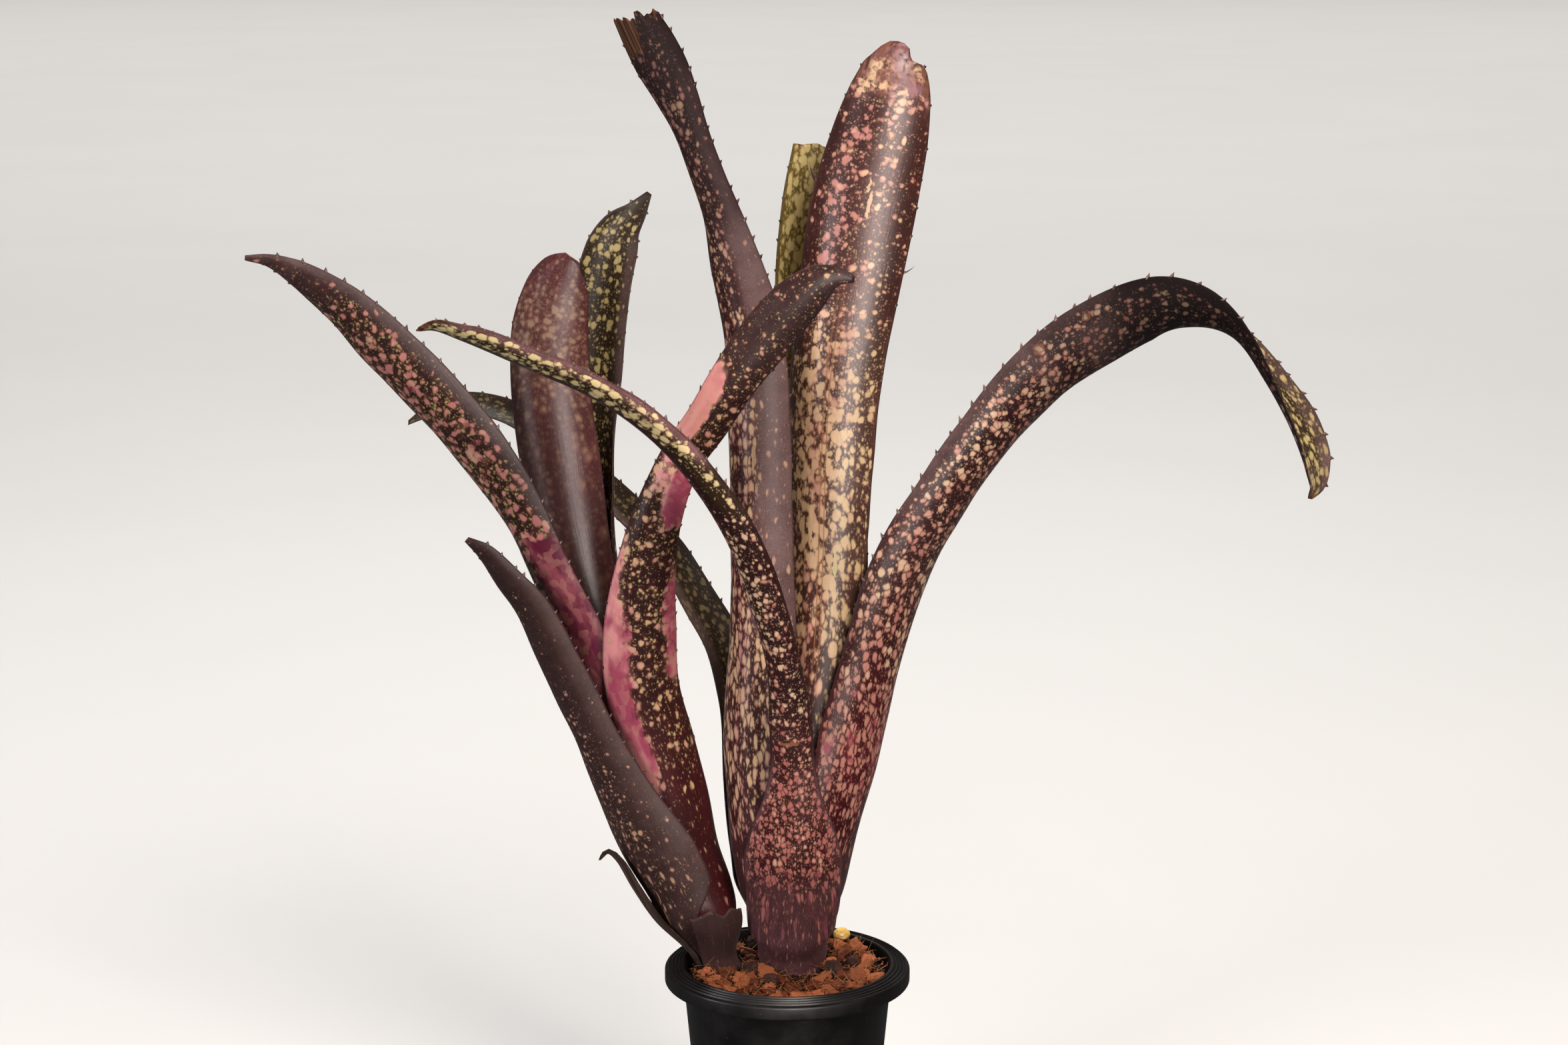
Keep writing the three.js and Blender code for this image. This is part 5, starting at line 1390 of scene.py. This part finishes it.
def middleAndHalf(node):
    # of a node's box, in millimetres
    low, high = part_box(node)
    return (low + high) / 2 / mm, (high - low) / 2 / mm


def buildMulch():
    drawn = random.Random(mulch["seed"])
    ballPoints, ballFaces = unitLump(3)
    tinyPoints, tinyFaces = unitLump(1)
    points, faces, tones, pairs = [], [], [], []
    frays = []

    def addLump(x, y, z, size, ball, ballFaceList, tone, rough, blocky, tilt):
        turn = Matrix.Rotation(drawn.uniform(0, 2 * math.pi), 3, "Z")
        turn = turn @ Matrix.Rotation(drawn.uniform(-tilt, tilt), 3, "Y")
        turn = turn @ Matrix.Rotation(drawn.uniform(-tilt, tilt), 3, "X")
        shaped = shapeLump(ball, size, turn, (x, y, z), rough, drawn.uniform(0, 90), blocky)
        base = len(points)
        points.extend(keepInPot(p, mulch["floor"] - 0.4) for p in shaped)
        faces.extend(tuple(base + i for i in face) for face in ballFaceList)
        tones.extend([tone] * len(ball))
        shift = drawn.uniform(0, 60)
        pairs.extend((p.x * size[0] + shift, math.atan2(p.y, p.z) * size[1] + shift) for p in ball)
        return turn

    # the bed under the chips, in the deepest tone: the dark mix below, and partly painted shade in the gaps
    # between chips
    rings, sides = mulch["bedRings"], mulch["bedSides"]
    points.append(Vector((0, 0, mulch["floor"])))
    tones.append(0.1)
    pairs.append((0, 0))
    for j in range(1, rings + 1):
        for x, y in circle((pot["mouthRadius"] - 1.9) * j / rings, sides):
            rise = 0.8 * noise.noise(Vector((x / 2.2, y / 2.2, 7))) + 0.7 * noise.noise(Vector((x, y, 3)))
            points.append(Vector((x, y, mulch["floor"] + 0.7 + rise)))
            tones.append(0.1 + 0.12 * noise.noise(Vector((x, y, 9))))
            pairs.append((x, y))
    faces.extend((0, 1 + k, 1 + (k + 1) % sides) for k in range(sides))
    for j in range(rings - 1):
        faces.extend((a, d, c, b) for a, b, c, d in band(1 + j * sides, sides))
    # a skirt and a floor close the bed
    edge = 1 + (rings - 1) * sides
    below = len(points)
    for top in points[edge:edge + sides]:
        points.append(Vector((top.x, top.y, mulch["foot"])))
        tones.append(0.1)
        pairs.append((top.x, top.y))
    for k in range(sides):
        after = (k + 1) % sides
        faces.append((edge + k, below + k, below + after, edge + after))
    faces.append(tuple(below + k for k in reversed(range(sides))))

    # chunks of husk, spaced so that dark gaps stay between them, off the nuggets and the hollow in front
    largePoints, largeFaces = unitLump(4)
    kept = []
    for i in range(1, 6):
        middle, _ = middleAndHalf(f"nugget_{i}")
        kept.append((float(middle[0]), float(middle[1]), mulch["nuggetRoom"]))
    placed = 0
    tries = 0
    while placed < mulch["chunks"] and tries < 6000:
        tries += 1
        x, y = scatterPlace(drawn, 2.2)
        reach = drawn.uniform(2.4, 4.4)
        crowded = any(math.hypot(x - a, y - b) < 0.72 * (reach + room) for a, b, room in kept)
        if crowded or hollowAt(x, y, 40, 60) > 0.5:
            continue
        kept.append((x, y, reach))
        placed += 1
        size = (reach, reach * drawn.uniform(0.6, 0.85), reach * drawn.uniform(0.42, 0.62))
        z = mulchHeight(x, y) + drawn.uniform(-0.3, 0.8)
        turn = addLump(x, y, z, size, largePoints, largeFaces, drawn.uniform(0.35, 1.0), 0.42, 0.5, 0.7)
        for _ in range(mulch["frays"]):  # torn strands at the ends of a chunk
            end = drawn.choice((-1, 1))
            sideways = drawn.uniform(-0.7, 0.7) * size[1]
            spot = Vector((0.8 * end * size[0], sideways, drawn.uniform(-0.2, 0.7) * size[2]))
            way = turn @ Vector((end, drawn.uniform(-0.6, 0.6), drawn.uniform(-0.2, 0.9)))
            frays.append((turn @ spot + Vector((x, y, z)), way.normalized(), drawn.uniform(0.8, 2.8)))
    for _ in range(mulch["chips"]):
        x, y = scatterPlace(drawn, 1.0)
        size = (drawn.uniform(1.0, 2.2), drawn.uniform(0.8, 1.5), drawn.uniform(0.5, 1.1))
        z = mulchHeight(x, y) + drawn.uniform(-1.2, 0.4)
        addLump(x, y, z, size, ballPoints, ballFaces, drawn.uniform(0.05, 0.8), 0.38, 0.45, 1.2)
    for _ in range(mulch["crumbs"]):
        x, y = scatterPlace(drawn, 0.4)
        grain = drawn.uniform(0.25, 0.7)
        z = mulchHeight(x, y) + drawn.uniform(-1.2, 1.4)
        tone = drawn.random() ** 1.6
        addLump(x, y, z, (grain * 1.5, grain, grain * 0.8), tinyPoints, tinyFaces, tone, 0.3, 0.2, 1.5)
    chipFaces = len(faces)

    # loose fibres, thin and bowed, and the strands of the chunks
    def addStrand(start, way, length, thick, bow):
        steps = mulch["strandSteps"]
        base = len(points)
        across = way.cross(Vector((0, 0, 1)))
        across = across.normalized() if across.length > 0.05 else Vector((1, 0, 0))
        lift = across.cross(way)
        for j in range(steps + 1):
            share = j / steps
            middle = start + way * length * share + (across * 0.7 + lift * 0.5) * bow * length * share * share
            middle = keepInPot(middle, mulch["floor"] + 0.5)
            middle.z = min(middle.z, mulch["fibreTop"])
            width = thick * (1 - 0.7 * share ** 2)
            for k in range(3):
                angle = 2 * math.pi * k / 3
                points.append(middle + (across * math.cos(angle) + lift * math.sin(angle)) * width)
                tones.append(0.6)
                pairs.append((share * length, k))
        for j in range(steps):
            faces.extend(band(base + 3 * j, 3))
        faces.append((base + 2, base + 1, base))
        faces.append((base + 3 * steps, base + 3 * steps + 1, base + 3 * steps + 2))

    for start, way, length in frays:
        addStrand(start, way, length, drawn.uniform(0.08, 0.15), drawn.uniform(-0.4, 0.4))
    for _ in range(mulch["fibres"]):
        x, y = scatterPlace(drawn, 1.5)
        heading = drawn.uniform(0, 2 * math.pi)
        rise = drawn.uniform(-0.1, 1.0) ** 3
        way = Vector((math.cos(heading), math.sin(heading), rise)).normalized()
        start = Vector((x, y, mulchHeight(x, y) + drawn.uniform(-0.4, 1.4)))
        addStrand(start, way, drawn.uniform(2.5, 9), drawn.uniform(0.06, 0.14), drawn.uniform(-0.6, 0.6))
    fibreMaterial = roughMaterial("coirFibre", "8a5c3c", mulch["fibre"], 0.8, 0.8, 0.3)
    piece = addObject("huskMulch", np.array(points) * mm, faces, [huskMaterial(), fibreMaterial])
    piece.data.polygons.foreach_set("material_index", [0] * chipFaces + [1] * (len(faces) - chipFaces))
    addTone(piece, tones)
    addFibreMap(piece, pairs)
    settle(piece, "husk", "husk_chips")


def buildNuggets():
    drawn = random.Random(5)
    ballPoints, ballFaces = unitLump(4)
    bark = roughMaterial("barkNugget", "22110c", "4c2a1e", 1.4, 0.85, 0.9)
    for i in range(1, 6):
        node = f"nugget_{i}"
        middle, half = middleAndHalf(node)
        seed = drawn.uniform(0, 90)
        shaped = shapeLump(ballPoints, half * 0.92, Matrix.Identity(3), middle, 0.13, seed, 0.3)
        low, high = (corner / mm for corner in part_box(node))
        kept = [tuple(min(max(p[k], low[k]), high[k]) for k in range(3)) for p in shaped]
        piece = addObject(f"barkNugget{i}", np.array(kept) * mm, ballFaces, [bark])
        settle(piece, "bark_nugget", node)


def buildPellet():
    material, tree, shader, _, grain = grainyMaterial("yellowPellet", 1.6, 0.5)
    feed(tree, shader["Base Color"], blendColour(tree, grain["Tone"], tint("d9a84a"), tint("e8c67a")))
    feed(tree, shader["Roughness"], blendValue(tree, grain["Height"], 0.25, 0.45))
    addRelief(tree, shader, 0.3, 0.1, grain["Height"])
    shader["Coat Weight"].default_value = 0.1
    middle, half = middleAndHalf("feed_pellet")
    points, faces = unitLump(4)
    shaped = shapeLump(points, half * 0.98, Matrix.Identity(3), middle, 0.02, 3.0)
    settle(addObject("feedPellet", np.array(shaped) * mm, faces, [material]), "feed_pellet", "feed_pellet")


def dressNode(node, material):
    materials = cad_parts[node].data.materials
    materials.clear()
    materials.append(material)


buildMulch()
buildNuggets()
buildPellet()
dressNode("potting_mix", roughMaterial("pottingMix", "21140e", "5a3a24", 1.8, 0.95, 1.0))
dressNode("crown_and_rhizome", roughMaterial("crownWood", "5a4630", "a38c62", 2.2, 0.8, 0.6))
print("mulch built")
